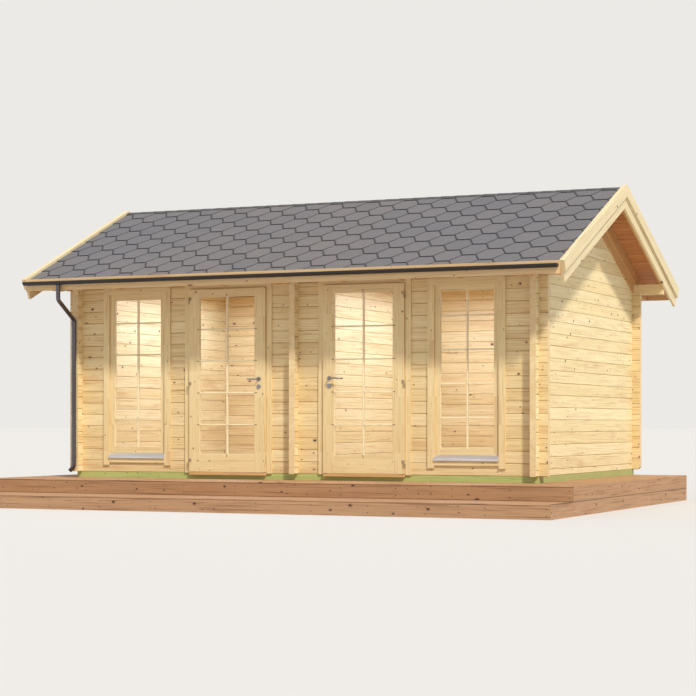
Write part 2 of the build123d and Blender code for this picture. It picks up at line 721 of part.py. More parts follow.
# Doors, hinged at their outer sides
hinge_y = leaf_front - hinge_radius - knuckle_play
hinge_heights = (wall_foot + hinge_foot, wall_foot + hinge_middle, leaf_head - hinge_top)
for side, name in ((-1, "left_door"), (1, "right_door")):
    x_mid = side * door_offset
    hinge_x = x_mid + side * (leaf_width / 2 + running_gap / 2)
    spindle_x = x_mid - side * (leaf_width / 2 - lever_backset)
    lever_z = wall_foot + lever_level
    lock_z = lever_z - lock_drop

    with BuildPart() as door_leaf:
        spans = [(x_mid - leaf_width / 2, x_mid - leaf_width / 2 + stile_width),
                 (x_mid + leaf_width / 2 - stile_width, x_mid + leaf_width / 2)]
        boxes(spans, leaf_front, leaf_back, leaf_foot, leaf_head)
        rail = (x_mid - leaf_width / 2 + stile_width + seat,
                x_mid + leaf_width / 2 - stile_width - seat)
        box(*rail, leaf_front, leaf_back, leaf_foot, leaf_foot + bottom_rail)
        box(*rail, leaf_front, leaf_back, leaf_head - top_rail, leaf_head)
        with BuildSketch(Plane.XZ.offset(-leaf_front)):
            with Locations((spindle_x, lever_z)):
                Circle(spindle_hole)
        extrude(amount=-leaf_thickness, mode=Mode.SUBTRACT)
    save(door_leaf, name + "_leaf")

    with BuildPart() as door_pane:
        pane_front = leaf_front + (leaf_thickness - door_glass) / 2
        box(*rail, pane_front, pane_front + door_glass,
            leaf_foot + bottom_rail + seat, leaf_head - top_rail - seat)
    save(door_pane, name + "_glass")

    with BuildPart() as door_roses:
        for face_y in (leaf_front - rose_thickness, leaf_back):
            with BuildSketch(Plane.XZ.offset(-face_y)):
                with Locations((spindle_x, lever_z)):
                    Circle(rose_radius)
                    Circle(lever_radius + neck_play, mode=Mode.SUBTRACT)
                with Locations((spindle_x, lock_z)):
                    Circle(rose_radius)
            extrude(amount=-rose_thickness)
    save(door_roses, name + "_roses")

    with BuildPart() as door_lever:
        for face_y, out in ((leaf_front, -1), (leaf_back, 1)):
            grip_y = face_y + out * lever_stand
            end_x = spindle_x + side * lever_length
            with BuildLine() as handle:
                FilletPolyline(
                    (spindle_x, face_y + out * spindle_bite, lever_z),
                    (spindle_x, grip_y, lever_z),
                    (end_x, grip_y, lever_z),
                    (end_x, grip_y - out * lever_return, lever_z),
                    radius=lever_bend,
                )
            with BuildSketch(Plane(handle.line @ 0, z_dir=handle.line % 0)):
                Circle(lever_radius)
            sweep(path=handle.line)
        with BuildSketch(Plane.XZ.offset(-(leaf_front - 2 * spindle_bite))):
            with Locations((spindle_x, lever_z)):
                Rectangle(spindle_square, spindle_square)
        extrude(amount=-(leaf_thickness + 4 * spindle_bite))
    save(door_lever, name + "_lever")

    # each hinge has a knuckle on the leaf over one on the frame
    with BuildPart() as leaf_hinges:
        for z in hinge_heights:
            with BuildSketch(Plane.XY.offset(z + knuckle_play)):
                with Locations((hinge_x, hinge_y)):
                    Circle(hinge_radius)
                plate = sorted((hinge_x, hinge_x - side * hinge_reach))
                with Locations(((plate[0] + plate[1]) / 2, leaf_front - seat - hinge_plate / 2)):
                    Rectangle(plate[1] - plate[0], hinge_plate)
            extrude(amount=hinge_half)
    save(leaf_hinges, name + "_hinges")

with BuildPart() as frame_hinges:
    for side in (-1, 1):
        hinge_x = side * (door_offset + leaf_width / 2 + running_gap / 2)
        for z in hinge_heights:
            with BuildSketch(Plane.XY.offset(z - knuckle_play - hinge_half)):
                with Locations((hinge_x, hinge_y)):
                    Circle(hinge_radius)
                plate_x = hinge_x + side * (running_gap / 2 + hinge_plate)
                reach_y = trim_y - trim_thickness - seat
                with Locations((plate_x, (hinge_y + reach_y) / 2)):
                    Rectangle(2 * hinge_plate, reach_y - hinge_y)
            extrude(amount=hinge_half)
save(frame_hinges, "frame_hinges")
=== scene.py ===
"""Log cabin with two rooms on a two-level timber deck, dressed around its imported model.

Lengths are in metres. X runs along the ridge, Y from front to back and Z up from the ground.
"""

import logging
import math
from dataclasses import dataclass, field
from enum import Enum
from typing import Any

import bmesh
import bpy
import numpy as np
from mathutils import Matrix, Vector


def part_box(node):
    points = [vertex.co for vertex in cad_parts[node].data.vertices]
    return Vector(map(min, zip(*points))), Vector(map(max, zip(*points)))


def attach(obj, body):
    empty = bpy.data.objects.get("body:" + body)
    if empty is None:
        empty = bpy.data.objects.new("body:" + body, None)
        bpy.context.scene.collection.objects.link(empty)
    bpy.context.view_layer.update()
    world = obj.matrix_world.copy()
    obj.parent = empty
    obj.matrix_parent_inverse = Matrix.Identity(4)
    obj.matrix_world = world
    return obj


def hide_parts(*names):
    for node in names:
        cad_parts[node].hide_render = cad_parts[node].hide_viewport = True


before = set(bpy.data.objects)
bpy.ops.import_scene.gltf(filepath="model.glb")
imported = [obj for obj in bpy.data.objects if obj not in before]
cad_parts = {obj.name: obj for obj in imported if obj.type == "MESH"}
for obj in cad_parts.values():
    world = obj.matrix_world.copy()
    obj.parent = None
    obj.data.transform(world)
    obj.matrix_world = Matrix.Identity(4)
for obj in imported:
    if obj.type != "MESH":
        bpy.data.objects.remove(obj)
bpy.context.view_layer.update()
LOG = logging.getLogger("cabin")
MM = 0.001


# Places

@dataclass(frozen=True)
class Layout:
    """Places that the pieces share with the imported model."""

    front_y: float = -1.33465       # outer faces of the long walls
    back_y: float = 2.35535
    ridge_y: float = 0.51035
    platform_y: float = -2.20465    # front edge of the upper deck level
    gable_x: float = 2.89           # outer face of the right gable wall
    roof_x: float = 3.2797          # right end of the roof boards
    window_x: float = 2.065         # middle of the right window
    door_x: float = 0.855           # middle of the right door
    pipe_x: float = -2.861
    wall_foot: float = 0.376
    deck_top: float = 0.306
    step_top: float = 0.150
    log: float = 0.070              # thickness and height of a wall log
    course: float = 0.135
    courses: int = 17
    pitch: float = math.radians(24)
    overhang: float = 0.510
    rafter: float = 0.150
    board: float = 0.022            # thickness of a roof board
    eaves_board: float = 0.018

    @property
    def bearing(self) -> float:
        """Height of the rafters' undersides at the outer faces of the long walls."""
        return self.wall_foot + self.courses * self.course - self.log * math.tan(self.pitch)

    @property
    def half_depth(self) -> float:
        """Ridge to the outer face of a long wall."""
        return (self.back_y - self.front_y) / 2

    @property
    def run(self) -> float:
        """Ridge to the outside of an eaves board."""
        return self.half_depth + self.overhang

    @property
    def eaves(self) -> float:
        """Ridge to the inner face of an eaves board."""
        return self.run - self.eaves_board

    @property
    def covered(self) -> float:
        """Top of the roof boards over the rafters' undersides."""
        return self.rafter + self.board

    def slope(self, side: int, x: np.ndarray, down: np.ndarray, lift: np.ndarray) -> np.ndarray:
        """Points over one roof side.

        The foot of each point lies at `down` metres from the ridge along the plane of the rafters'
        undersides, and the point stands `lift` metres off that plane, square to it.

        Args:
            side: -1 for the front and 1 for the back.
            x: places along the ridge.
            down: distances down the slope.
            lift: distances off the plane.

        Returns:
            An array of points, with the three coordinates last.
        """
        cos, sin, tan = math.cos(self.pitch), math.sin(self.pitch), math.tan(self.pitch)
        away = down * cos + lift * sin
        height = self.bearing + (self.half_depth - down * cos) * tan + lift * cos
        return np.stack(np.broadcast_arrays(x, self.ridge_y + side * away, height), axis=-1)


PLACE = Layout()


# Meshes

class Axis(Enum):
    """Direction that a prism, a grain or a stack of boards follows."""

    X = 0
    Y = 1
    Z = 2


@dataclass
class Shape:
    """Points and faces of a mesh, and named values that its points carry."""

    points: np.ndarray
    faces: list[list[int]]
    marks: dict[str, np.ndarray] = field(default_factory=dict)


def joined(shapes: list[Shape]) -> Shape:
    """Put several shapes in one.

    Args:
        shapes: the shapes, which carry the same marks.

    Returns:
        One shape with all their points and faces.
    """
    starts = np.cumsum([0] + [len(s.points) for s in shapes])
    faces = [[i + int(start) for i in f] for s, start in zip(shapes, starts) for f in s.faces]
    marks = {key: np.concatenate([s.marks[key] for s in shapes]) for key in shapes[0].marks}
    return Shape(np.concatenate([s.points for s in shapes]), faces, marks)


def band(corners: int, low: int, high: int) -> np.ndarray:
    """Faces that join two rings of points, each to the next point round the ring.

    Args:
        corners: points in each ring.
        low: number of the lower ring's first point.
        high: number of the upper ring's first point.

    Returns:
        The faces, as rows of four numbers of points.
    """
    first = np.arange(corners)
    after = np.roll(first, -1)
    return np.stack([first + low, after + low, after + high, first + high], 1)


def repeated(faces: list[list[int]], size: int, count: int) -> list[list[int]]:
    """Faces of one shape, carried over to a number of copies that follow each other.

    Args:
        faces: of the first copy.
        size: points in a copy.
        count: number of copies.

    Returns:
        The faces of all copies.
    """
    return [[i + n * size for i in face] for n in range(count) for face in faces]


def prisms(outline: np.ndarray, places: np.ndarray, starts: np.ndarray, ends: np.ndarray,
           along: Axis) -> Shape:
    """Carry one outline along an axis at many places.

    Each point is the outline's point plus its prism's place in the two axes across, and the
    prism's start or end along the axis. Sides join the two ends, and each end is one face.

    Args:
        outline: corners of the outline in the two axes across, as an array of pairs.
        places: where each prism stands across, as an array of pairs.
        starts: where each prism starts along the axis.
        ends: where each prism ends.
        along: the axis.

    Returns:
        The prisms, with a random value for each in the mark "tone".
    """
    count, corners = len(places), len(outline)
    across = np.broadcast_to(places[:, None, None, :] + outline[None, None], (count, 2, corners, 2))
    lengths = np.broadcast_to(np.stack([starts, ends], 1)[:, :, None], (count, 2, corners))
    points = np.insert(across, along.value, lengths, axis=-1).reshape(-1, 3)
    first = np.arange(corners)
    jumps = np.arange(count) * 2 * corners
    faces = (band(corners, 0, corners)[None] + jumps[:, None, None]).reshape(-1, 4).tolist()
    faces += (first[::-1][None] + jumps[:, None]).tolist()
    faces += (first[None] + corners + jumps[:, None]).tolist()
    tone = np.repeat(np.random.default_rng(count).random(count), 2 * corners)
    return Shape(points, faces, {"tone": tone})


def rounded_board(width: float, thickness: float, arris: float) -> np.ndarray:
    """Outline of a board with its four arrises off.

    It goes from 0 to the width and from 0 to the thickness, with each corner cut straight.

    Args:
        width: of the board.
        thickness: of the board.
        arris: how far each corner is cut.

    Returns:
        The outline's corners, as an array of pairs.
    """
    w, t, a = width, thickness, arris
    return np.array([(a, 0), (w - a, 0), (w, a), (w, t - a), (w - a, t), (a, t), (0, t - a), (0, a)])


def disc_heads(centres: np.ndarray, normal: tuple[float, float, float], radius: float, height: float,
               corners: int) -> Shape:
    """Low domed heads, such as those of screws.

    A head has one ring of points on a circle its height under the surface, one on the surface and
    one its height over it, at a share of the radius. The middle of its top is a little lower.

    Args:
        centres: middle of each head on its surface.
        normal: direction that the heads face, one of the axes and 1 long.
        radius: of the rim.
        height: of the head over the surface.
        corners: of each ring.

    Returns:
        The heads.
    """
    normal = np.asarray(normal, float)
    side = np.cross(normal, (1.0, 0.0, 0.0) if normal[2] else (0.0, 0.0, 1.0))
    other = np.cross(normal, side)
    turn = np.linspace(0, 2 * math.pi, corners, endpoint=False)
    ring = np.cos(turn)[:, None] * side + np.sin(turn)[:, None] * other
    crown, hollow = 0.6, 0.66
    one = np.concatenate([ring * radius - normal * height, ring * radius,
                          ring * crown * radius + normal * height, normal[None] * height * hollow,
                          -normal[None] * height])
    first = np.arange(corners)
    after = np.roll(first, -1)
    top, under = 3 * corners, 3 * corners + 1
    single = band(corners, 0, corners).tolist() + band(corners, corners, 2 * corners).tolist()
    single += np.stack([first + 2 * corners, after + 2 * corners, np.full(corners, top)], 1).tolist()
    single += np.stack([after, first, np.full(corners, under)], 1).tolist()
    points = (centres[:, None] + one[None]).reshape(-1, 3)
    return Shape(points, repeated(single, len(one), len(centres)), {"tone": np.zeros(len(points))})


def meshed(name: str, shape: Shape) -> bpy.types.Mesh:
    """Put a shape and its marks in a mesh.

    Args:
        name: of the mesh.
        shape: the shape.

    Returns:
        The mesh.
    """
    mesh = bpy.data.meshes.new(name)
    mesh.from_pydata(shape.points.tolist(), [], shape.faces)
    for key, values in shape.marks.items():
        mesh.attributes.new(key, "FLOAT", "POINT").data.foreach_set("value", values.astype(np.float32))
    return mesh


def build(name: str, shape: Shape, material: bpy.types.Material, body: str = "cabin",
          replaces: tuple[str, ...] = ()) -> None:
    """Make an object from a shape, finish it and let it ride on its body.

    Args:
        name: the piece's name.
        shape: its mesh.
        material: its finish.
        body: the body that it moves with.
        replaces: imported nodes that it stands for.
    """
    mesh = meshed(name, shape)
    mesh.materials.append(material)
    work = bmesh.new()
    work.from_mesh(mesh)
    bmesh.ops.recalc_face_normals(work, faces=work.faces)
    work.to_mesh(mesh)
    work.free()
    piece = bpy.data.objects.new(name, mesh)
    bpy.context.scene.collection.objects.link(piece)
    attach(piece, body)
    if replaces:
        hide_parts(*replaces)
    LOG.info("%s: %d faces", name, len(mesh.polygons))


# Finishes

def linear(code: str) -> tuple[float, float, float, float]:
    """Turn an sRGB hex colour into linear values.

    Args:
        code: six hex digits.

    Returns:
        Red, green, blue and an alpha of 1.
    """
    parts = [int(code[i:i + 2], 16) / 255 for i in (0, 2, 4)]
    r, g, b = (c / 12.92 if c <= 0.04045 else ((c + 0.055) / 1.055) ** 2.4 for c in parts)
    return r, g, b, 1.0


def tinted(code: str, factor: float) -> str:
    """Hex colour with its three parts times a factor, each kept under 256."""
    return "".join(f"{min(255, int(int(code[i:i + 2], 16) * factor)):02X}" for i in (0, 2, 4))


def feed(tree: bpy.types.NodeTree, socket: bpy.types.NodeSocket, source: Any) -> None:
    """Link a socket, or set its value.

    Args:
        tree: the nodes of a material or of the world.
        socket: the socket to feed.
        source: a node or a socket to link, a value, or a hex colour.
    """
    if isinstance(source, bpy.types.Node):
        source = next(output for output in source.outputs if output.enabled)
    if isinstance(source, bpy.types.NodeSocket):
        tree.links.new(source, socket)
    else:
        socket.default_value = linear(source) if isinstance(source, str) else source


def add(tree: bpy.types.NodeTree, kind: str, *feeds: Any, **named: Any) -> bpy.types.Node:
    """Add a node with its settings and links.

    Args:
        tree: the nodes of a material or of the world.
        kind: the node's type, without the words ShaderNode.
        feeds: what its sockets get, in the order in which the node shows them.
        named: its settings, which start with a small letter, and what sockets get by their names.

    Returns:
        The node.
    """
    node = tree.nodes.new("ShaderNode" + kind)
    for key, value in named.items():
        if key[0].islower():
            setattr(node, key, value)
    for socket, source in zip([socket for socket in node.inputs if socket.enabled], feeds):
        feed(tree, socket, source)
    for key, source in named.items():
        if key[0].isupper():
            feed(tree, node.inputs[key], source)
    return node


def layer(tree: bpy.types.NodeTree, base: Any, over: Any, pattern: Any, low: float, high: float,
          share: float, blend: str = "MIX") -> bpy.types.Node:
    """Lay a colour over another where a pattern says so.

    The upper colour's share goes evenly from nothing, where the pattern is `low`, to its full
    share, where it is `high`, and stays the same beyond them.

    Args:
        tree: the material's nodes.
        base: the colour below.
        over: the colour above.
        pattern: node or socket with the pattern.
        low: where the upper colour starts.
        high: where it has its full share.
        share: its full share.
        blend: how the two colours mix.

    Returns:
        The node with the colour.
    """
    part = add(tree, "MapRange", pattern, low, high, 0.0, share)
    return add(tree, "Mix", part, base, over, data_type="RGBA", blend_type=blend)


def blank(name: str, colour: str, rough: float,
          metallic: float = 0.0) -> tuple[bpy.types.Material, bpy.types.NodeTree, bpy.types.Node]:
    """Start a material.

    Args:
        name: the material's name.
        colour: sRGB hex colour.
        rough: roughness of the surface.
        metallic: 1 for bare metal.

    Returns:
        The material, its nodes and its surface shader.
    """
    material = bpy.data.materials.new(name)
    material.use_nodes = True
    tree = material.node_tree
    shader = tree.nodes["Principled BSDF"]
    for key, value in (("Base Color", colour), ("Roughness", rough), ("Metallic", metallic)):
        feed(tree, shader.inputs[key], value)
    material.diffuse_color = linear(colour)
    return material, tree, shader


@dataclass(frozen=True)
class Softwood:
    """Planed or sawn pine and spruce.

    The eye sees long pale streaks of grain with fine dark lines, a few short resin streaks, some
    reddish heartwood, small sharp black knots with a brown ring, a tone that changes from log to
    log, and a thin shadow line in each joint. Cut ends are smooth and paler.
    """

    name: str
    light: str
    deep: str
    knot: str = "24150B"
    halo: str = "8E5C34"
    heart: str = "BC7F4E"
    end: str = "E1C595"
    grey: str = "EBDDBE"            # what a greyer log's colour is multiplied by
    shade: str = "66452A"           # the same in a joint
    along: Axis = Axis.X            # direction of the grain
    stack: Axis = Axis.Z            # direction in which logs or boards follow each other
    pitch: float = 0.135            # from one log or board to the next
    phase: float = 0.0              # where a joint lies along the stack
    seam: float = 0.44              # how dark the painted shadow line in each joint is
    seam_width: float = 0.0042
    knots: float = 0.30             # share of the places that hold a knot
    knot_size: float = 0.0095
    knot_spacing: float = 0.37
    pins: float = 0.16              # share of the places that hold a pin knot
    pin_size: float = 0.0042
    pin_spacing: float = 0.145
    tone: float = 0.5               # difference between neighbours
    streak: float = 0.42            # share of the deep colour in the grain
    red: float = 0.30               # share of heartwood colour where it is strongest
    resin: float = 0.55             # how dark the short streaks are
    rough: float = 0.58
    split: tuple[float, float] | None = None    # middle and half width of what lies between uprights
    turned: bool = False            # boards that face along X run along Y
    sloped: bool = False            # timbers that run down the roof's slope

    def dress(self) -> bpy.types.Material:
        """Build the material.

        Returns:
            The material.
        """
        material, tree, shader = blank(self.name, self.light, self.rough)
        coords = add(tree, "TexCoord").outputs
        parts = add(tree, "SeparateXYZ", coords["Object"]).outputs
        facing = add(tree, "SeparateXYZ", coords["Normal"]).outputs
        away = add(tree, "Math", parts[self.stack.value], self.phase, operation="SUBTRACT")
        count = add(tree, "Math", away, self.pitch, operation="DIVIDE")
        index = add(tree, "Math", count, operation="FLOOR")
        chance = add(tree, "TexWhiteNoise", index, noise_dimensions="1D").outputs
        luck = add(tree, "SeparateColor", chance["Color"]).outputs
        # each log or board shows another stretch of the same grain, up to 7.3 m further along
        place = add(tree, "VectorMath", chance["Value"], (7.3, 0.0, 0.0), self.laid(tree, parts, facing),
                    operation="MULTIPLY_ADD")
        colour = self.grain(tree, place)
        # each has its own tone, some greyer and some paler
        colour = layer(tree, colour, self.grey, luck[0], 0.25, 1.0, self.tone, "MULTIPLY")
        colour = layer(tree, colour, tinted(self.light, 1.06), luck[1], 0.45, 1.0, 0.45 * self.tone)
        colour, pin = self.knotted(tree, colour, place, self.pin_spacing, self.pin_size, self.pins)
        colour, knot = self.knotted(tree, colour, place, self.knot_spacing, self.knot_size, self.knots)
        # painted shadow line along each joint, darkest in the joint and gone at seam_width from it
        joint = add(tree, "Math", count, 0.5, operation="PINGPONG")
        colour = layer(tree, colour, self.shade, joint, self.seam_width / self.pitch, 0.0, self.seam,
                       "MULTIPLY")
        colour = self.ended(tree, colour, coords["Object"], facing, luck[2])
        feed(tree, shader.inputs["Base Color"], colour)
        near = add(tree, "Math", knot, pin, operation="MINIMUM")
        self.bumped(tree, shader, place, near)
        return material

    def laid(self, tree: bpy.types.NodeTree, parts: Any, facing: Any) -> bpy.types.Node:
        """Place in the wood: along the grain, across it and through the piece.

        Args:
            tree: the material's nodes.
            parts: sockets of the three coordinates.
            facing: sockets of the direction that the surface faces.

        Returns:
            The node with the place.
        """
        x, y, z = parts
        if self.sloped:
            # a and z turned by the roof's slope, where a is the distance from the ridge:
            # down it, a cos - z sin, and off it, a sin + z cos
            away = add(tree, "Math", y, PLACE.ridge_y, operation="SUBTRACT")
            away = add(tree, "Math", away, operation="ABSOLUTE")
            return add(tree, "Mapping", add(tree, "CombineXYZ", away, z, x), Rotation=(0.0, 0.0, PLACE.pitch))
        plain = (x, y, z) if self.stack is Axis.Y else (y, z, x) if self.along is Axis.Y else (x, z, y)
        level = add(tree, "CombineXYZ", *plain)
        if self.split:
            # uprights outside the split have upright grain, rails inside it have level grain
            middle, half = self.split
            away = add(tree, "Math", x, operation="ABSOLUTE")
            away = add(tree, "Math", away, middle, operation="SUBTRACT")
            away = add(tree, "Math", away, operation="ABSOLUTE")
            other = add(tree, "CombineXYZ", z, x, y)
        elif self.turned:
            away, half = add(tree, "Math", facing[0], operation="ABSOLUTE"), 0.7
            other = add(tree, "CombineXYZ", y, z, x)
        else:
            return level
        mask = add(tree, "Math", away, half, operation="GREATER_THAN")
        return add(tree, "Mix", mask, level, other, data_type="VECTOR")

    def drawn(self, tree: bpy.types.NodeTree, place: Any, scale: tuple[float, float, float],
              detail: float = 2.0) -> bpy.types.Node:
        """Noise drawn out along the grain.

        Args:
            tree: the material's nodes.
            place: place in the wood.
            scale: waves in a metre along the grain, across it and through the piece.
            detail: of the noise.

        Returns:
            The node with its value, around 0.5.
        """
        stretched = add(tree, "Mapping", place, Scale=scale)
        return add(tree, "TexNoise", stretched, Scale=1.0, Detail=detail, Roughness=0.6, Distortion=0.2)

    def grain(self, tree: bpy.types.NodeTree, place: Any) -> bpy.types.Node:
        """Long streaks of the deep colour over the light one, with fine lines and resin.

        Args:
            tree: the material's nodes.
            place: place in the wood.

        Returns:
            The node with the colour.
        """
        # streaks 8 mm wide and broad figure 45 mm wide, both about a metre long
        streaks = self.drawn(tree, place, (1.3, 120.0, 60.0), 3.0)
        figure = self.drawn(tree, place, (0.9, 22.0, 14.0))
        both = add(tree, "Mix", 0.38, streaks, figure)
        colour = layer(tree, self.light, self.deep, both, 0.40, 0.68, self.streak)
        # heartwood lies in patches a metre long and 150 mm high
        heart = self.drawn(tree, place, (1.1, 6.5, 6.5))
        colour = layer(tree, colour, self.heart, heart, 0.56, 0.72, self.red)
        # late wood lines are 1 mm, drawn at 10 mm so that they show
        lines = self.drawn(tree, place, (1.2, 96.0, 45.0))
        colour = layer(tree, colour, self.deep, lines, 0.57, 0.66, 0.85)
        # resin streaks are 200 mm long and 2 mm high, drawn 8 mm high
        resin = self.drawn(tree, place, (5.0, 125.0, 45.0), 1.0)
        return layer(tree, colour, self.halo, resin, 0.685, 0.745, self.resin)

    def knotted(self, tree: bpy.types.NodeTree, colour: Any, place: Any, spacing: float, size: float,
                share: float) -> tuple[bpy.types.Node, bpy.types.Node]:
        """Sharp dark knots with a thin ring, at random places.

        The wood is divided in places that are as long as the spacing and about half as high. A
        knot is an oval, half as long again along the grain as across it.

        Args:
            tree: the material's nodes.
            colour: the colour so far.
            place: place in the wood.
            spacing: length of a place that may hold a knot.
            size: radius of a middling knot.
            share: of the places that do hold one.

        Returns:
            The nodes with the colour and with the distance from the knot's middle, where 1 is its
            rim and more than 10 is a place without one.
        """
        height, squeeze, none = 0.53 * spacing, 0.68, 10.0
        spread = add(tree, "VectorMath", place, (1 / spacing, 1 / height, 0.0), operation="MULTIPLY")
        cells = add(tree, "TexVoronoi", spread, Scale=1.0, Randomness=1.0, voronoi_dimensions="2D").outputs
        away = add(tree, "VectorMath", spread, cells["Position"], operation="SUBTRACT")
        away = add(tree, "VectorMath", away, (squeeze * spacing, height, 0.0), operation="MULTIPLY")
        away = add(tree, "VectorMath", away, operation="LENGTH")
        luck = add(tree, "SeparateColor", cells["Color"]).outputs
        radius = add(tree, "MapRange", luck[1], 0.0, 1.0, 0.55 * size, 1.35 * size)
        near = add(tree, "Math", away, radius, operation="DIVIDE")
        empty = add(tree, "Math", luck[0], share, operation="GREATER_THAN")
        near = add(tree, "Math", empty, none, near, operation="MULTIPLY_ADD")
        colour = layer(tree, colour, self.halo, near, 2.4, 1.0, 0.5)
        return layer(tree, colour, self.knot, near, 1.05, 0.80, 1.0), near

    def ended(self, tree: bpy.types.NodeTree, colour: Any, spot: Any, facing: Any, luck: Any) -> Any:
        """Smooth paler wood on the faces that are cut across the grain.

        Args:
            tree: the material's nodes.
            colour: the colour so far.
            spot: the Object coordinates.
            facing: sockets of the direction that the surface faces.
            luck: a random value of the log or board.

        Returns:
            The node with the colour.
        """
        if self.split or self.turned:
            return colour
        rings = add(tree, "TexNoise", spot, Scale=16.0, Detail=3.0, Roughness=0.5)
        ends = layer(tree, self.end, self.light, luck, 0.0, 1.0, 0.35)
        ends = layer(tree, ends, self.deep, rings, 0.4, 0.75, 0.45)
        cut = add(tree, "Math", facing[self.along.value], operation="ABSOLUTE")
        return layer(tree, colour, ends, cut, 0.79, 0.81, 1.0)

    def bumped(self, tree: bpy.types.NodeTree, shader: bpy.types.Node, place: Any, near: Any) -> None:
        """Raise the fibres and the knots a little, under half a millimetre.

        Args:
            tree: the material's nodes.
            shader: the surface shader.
            place: place in the wood.
            near: distance from the nearest knot's middle.
        """
        # fibres are under 1 mm, drawn at 4 mm so that the light catches them
        stretched = add(tree, "VectorMath", place, (3.0, 260.0, 120.0), operation="MULTIPLY")
        fibres = add(tree, "TexNoise", stretched, Scale=1.0, Detail=2.0)
        height = add(tree, "Math", fibres, add(tree, "MapRange", near, 1.05, 0.80), operation="ADD")
        bump = add(tree, "Bump", Strength=0.35, Distance=0.4 * MM, Height=height)
        feed(tree, shader.inputs["Normal"], bump)
        rough = add(tree, "MapRange", fibres, 0.3, 0.7, self.rough - 0.07, self.rough + 0.07)
        feed(tree, shader.inputs["Roughness"], rough)


@dataclass(frozen=True)
class Slate:
    """Bitumen felt shingles strewn with crushed slate.

    The eye sees a matt grey with pale and dark granules, tabs of very nearly the same grey, and
    a dark line of shade along the foot and the lower sides of each tab.
    """

    name: str = "felt_shingle"
    grey: str = "6E6A6B"
    blue: str = "60636B"
    warm: str = "78706E"
    shade: str = "131418"
    pale_grit: str = "98979B"
    dark_grit: str = "3A3B42"
    rough: float = 0.92

    def dress(self) -> bpy.types.Material:
        """Build the material.

        Returns:
            The material.
        """
        material, tree, shader = blank(self.name, self.grey, self.rough)
        spot = add(tree, "TexCoord").outputs["Object"]
        tone, rim = (add(tree, "Attribute", attribute_name=key).outputs["Fac"] for key in ("tone", "rim"))
        cloud = add(tree, "TexNoise", spot, Scale=0.35, Detail=2.0)
        colour = layer(tree, self.grey, self.blue, cloud, 0.35, 0.70, 0.7)
        colour = layer(tree, colour, self.warm, tone, 0.3, 1.0, 0.25)
        colour = layer(tree, colour, self.shade, tone, 0.3, 0.0, 0.08)
        # granules are 1 mm, drawn at 9 mm so that they show
        grit = add(tree, "TexNoise", spot, Scale=110.0, Detail=2.0, Roughness=0.7)
        colour = layer(tree, colour, self.pale_grit, grit, 0.52, 0.72, 0.40)
        colour = layer(tree, colour, self.dark_grit, grit, 0.46, 0.28, 0.45)
        # painted shade where the mark rim says so: along the tabs' lower edges, at the caps' raised ends and
        # over the underlay
        edge = add(tree, "Math", rim, 0.45, operation="POWER")
        colour = layer(tree, colour, self.shade, edge, 0.0, 1.0, 0.96)
        feed(tree, shader.inputs["Base Color"], colour)
        bump = add(tree, "Bump", Strength=0.5, Distance=1.0 * MM, Height=grit)
        feed(tree, shader.inputs["Normal"], bump)
        return material


@dataclass(frozen=True)
class Metal:
    """Bare or coated metal: a clear sheen, with faint marks of the rolling or brushing."""

    name: str
    colour: str
    rough: float
    metallic: float = 1.0
    stretch: tuple[float, float, float] = (2.0, 60.0, 60.0)     # marks in a metre, in each direction

    def dress(self) -> bpy.types.Material:
        """Build the material.

        Returns:
            The material.
        """
        material, tree, shader = blank(self.name, self.colour, self.rough, self.metallic)
        place = add(tree, "Mapping", add(tree, "TexCoord").outputs["Object"], Scale=self.stretch)
        # brushing and rolling marks are under 1 mm, drawn at 15 mm and more so that they show
        marks = add(tree, "TexNoise", place, Scale=1.0, Detail=3.0)
        colour = layer(tree, self.colour, tinted(self.colour, 0.82), marks, 0.35, 0.7, 0.6)
        feed(tree, shader.inputs["Base Color"], colour)
        rough = add(tree, "MapRange", marks, 0.3, 0.7, 0.8 * self.rough, 1.25 * self.rough)
        feed(tree, shader.inputs["Roughness"], rough)
        return material


@dataclass(frozen=True)
class Glazing:
    """Clear float glass: nearly all of what is behind it shows, under a sharp reflection."""

    name: str = "clear_glass"
    tint: str = "7C8885"
    rough: float = 0.03
    cover: float = 0.055            # share of the tint over what is behind
    ior: float = 1.52

    def dress(self) -> bpy.types.Material:
        """Build the material.

        Returns:
            The material.
        """
        material, tree, shader = blank(self.name, self.tint, self.rough)
        # the drawn sheet waves a little, some 700 mm from crest to crest
        waves = add(tree, "TexNoise", add(tree, "TexCoord").outputs["Object"], Scale=1.4, Detail=1.0)
        bump = add(tree, "Bump", Strength=0.04, Distance=2.0 * MM, Height=waves)
        for key, value in (("Normal", bump), ("Alpha", self.cover), ("IOR", self.ior)):
            feed(tree, shader.inputs[key], value)
        return material


# Sub-assemblies

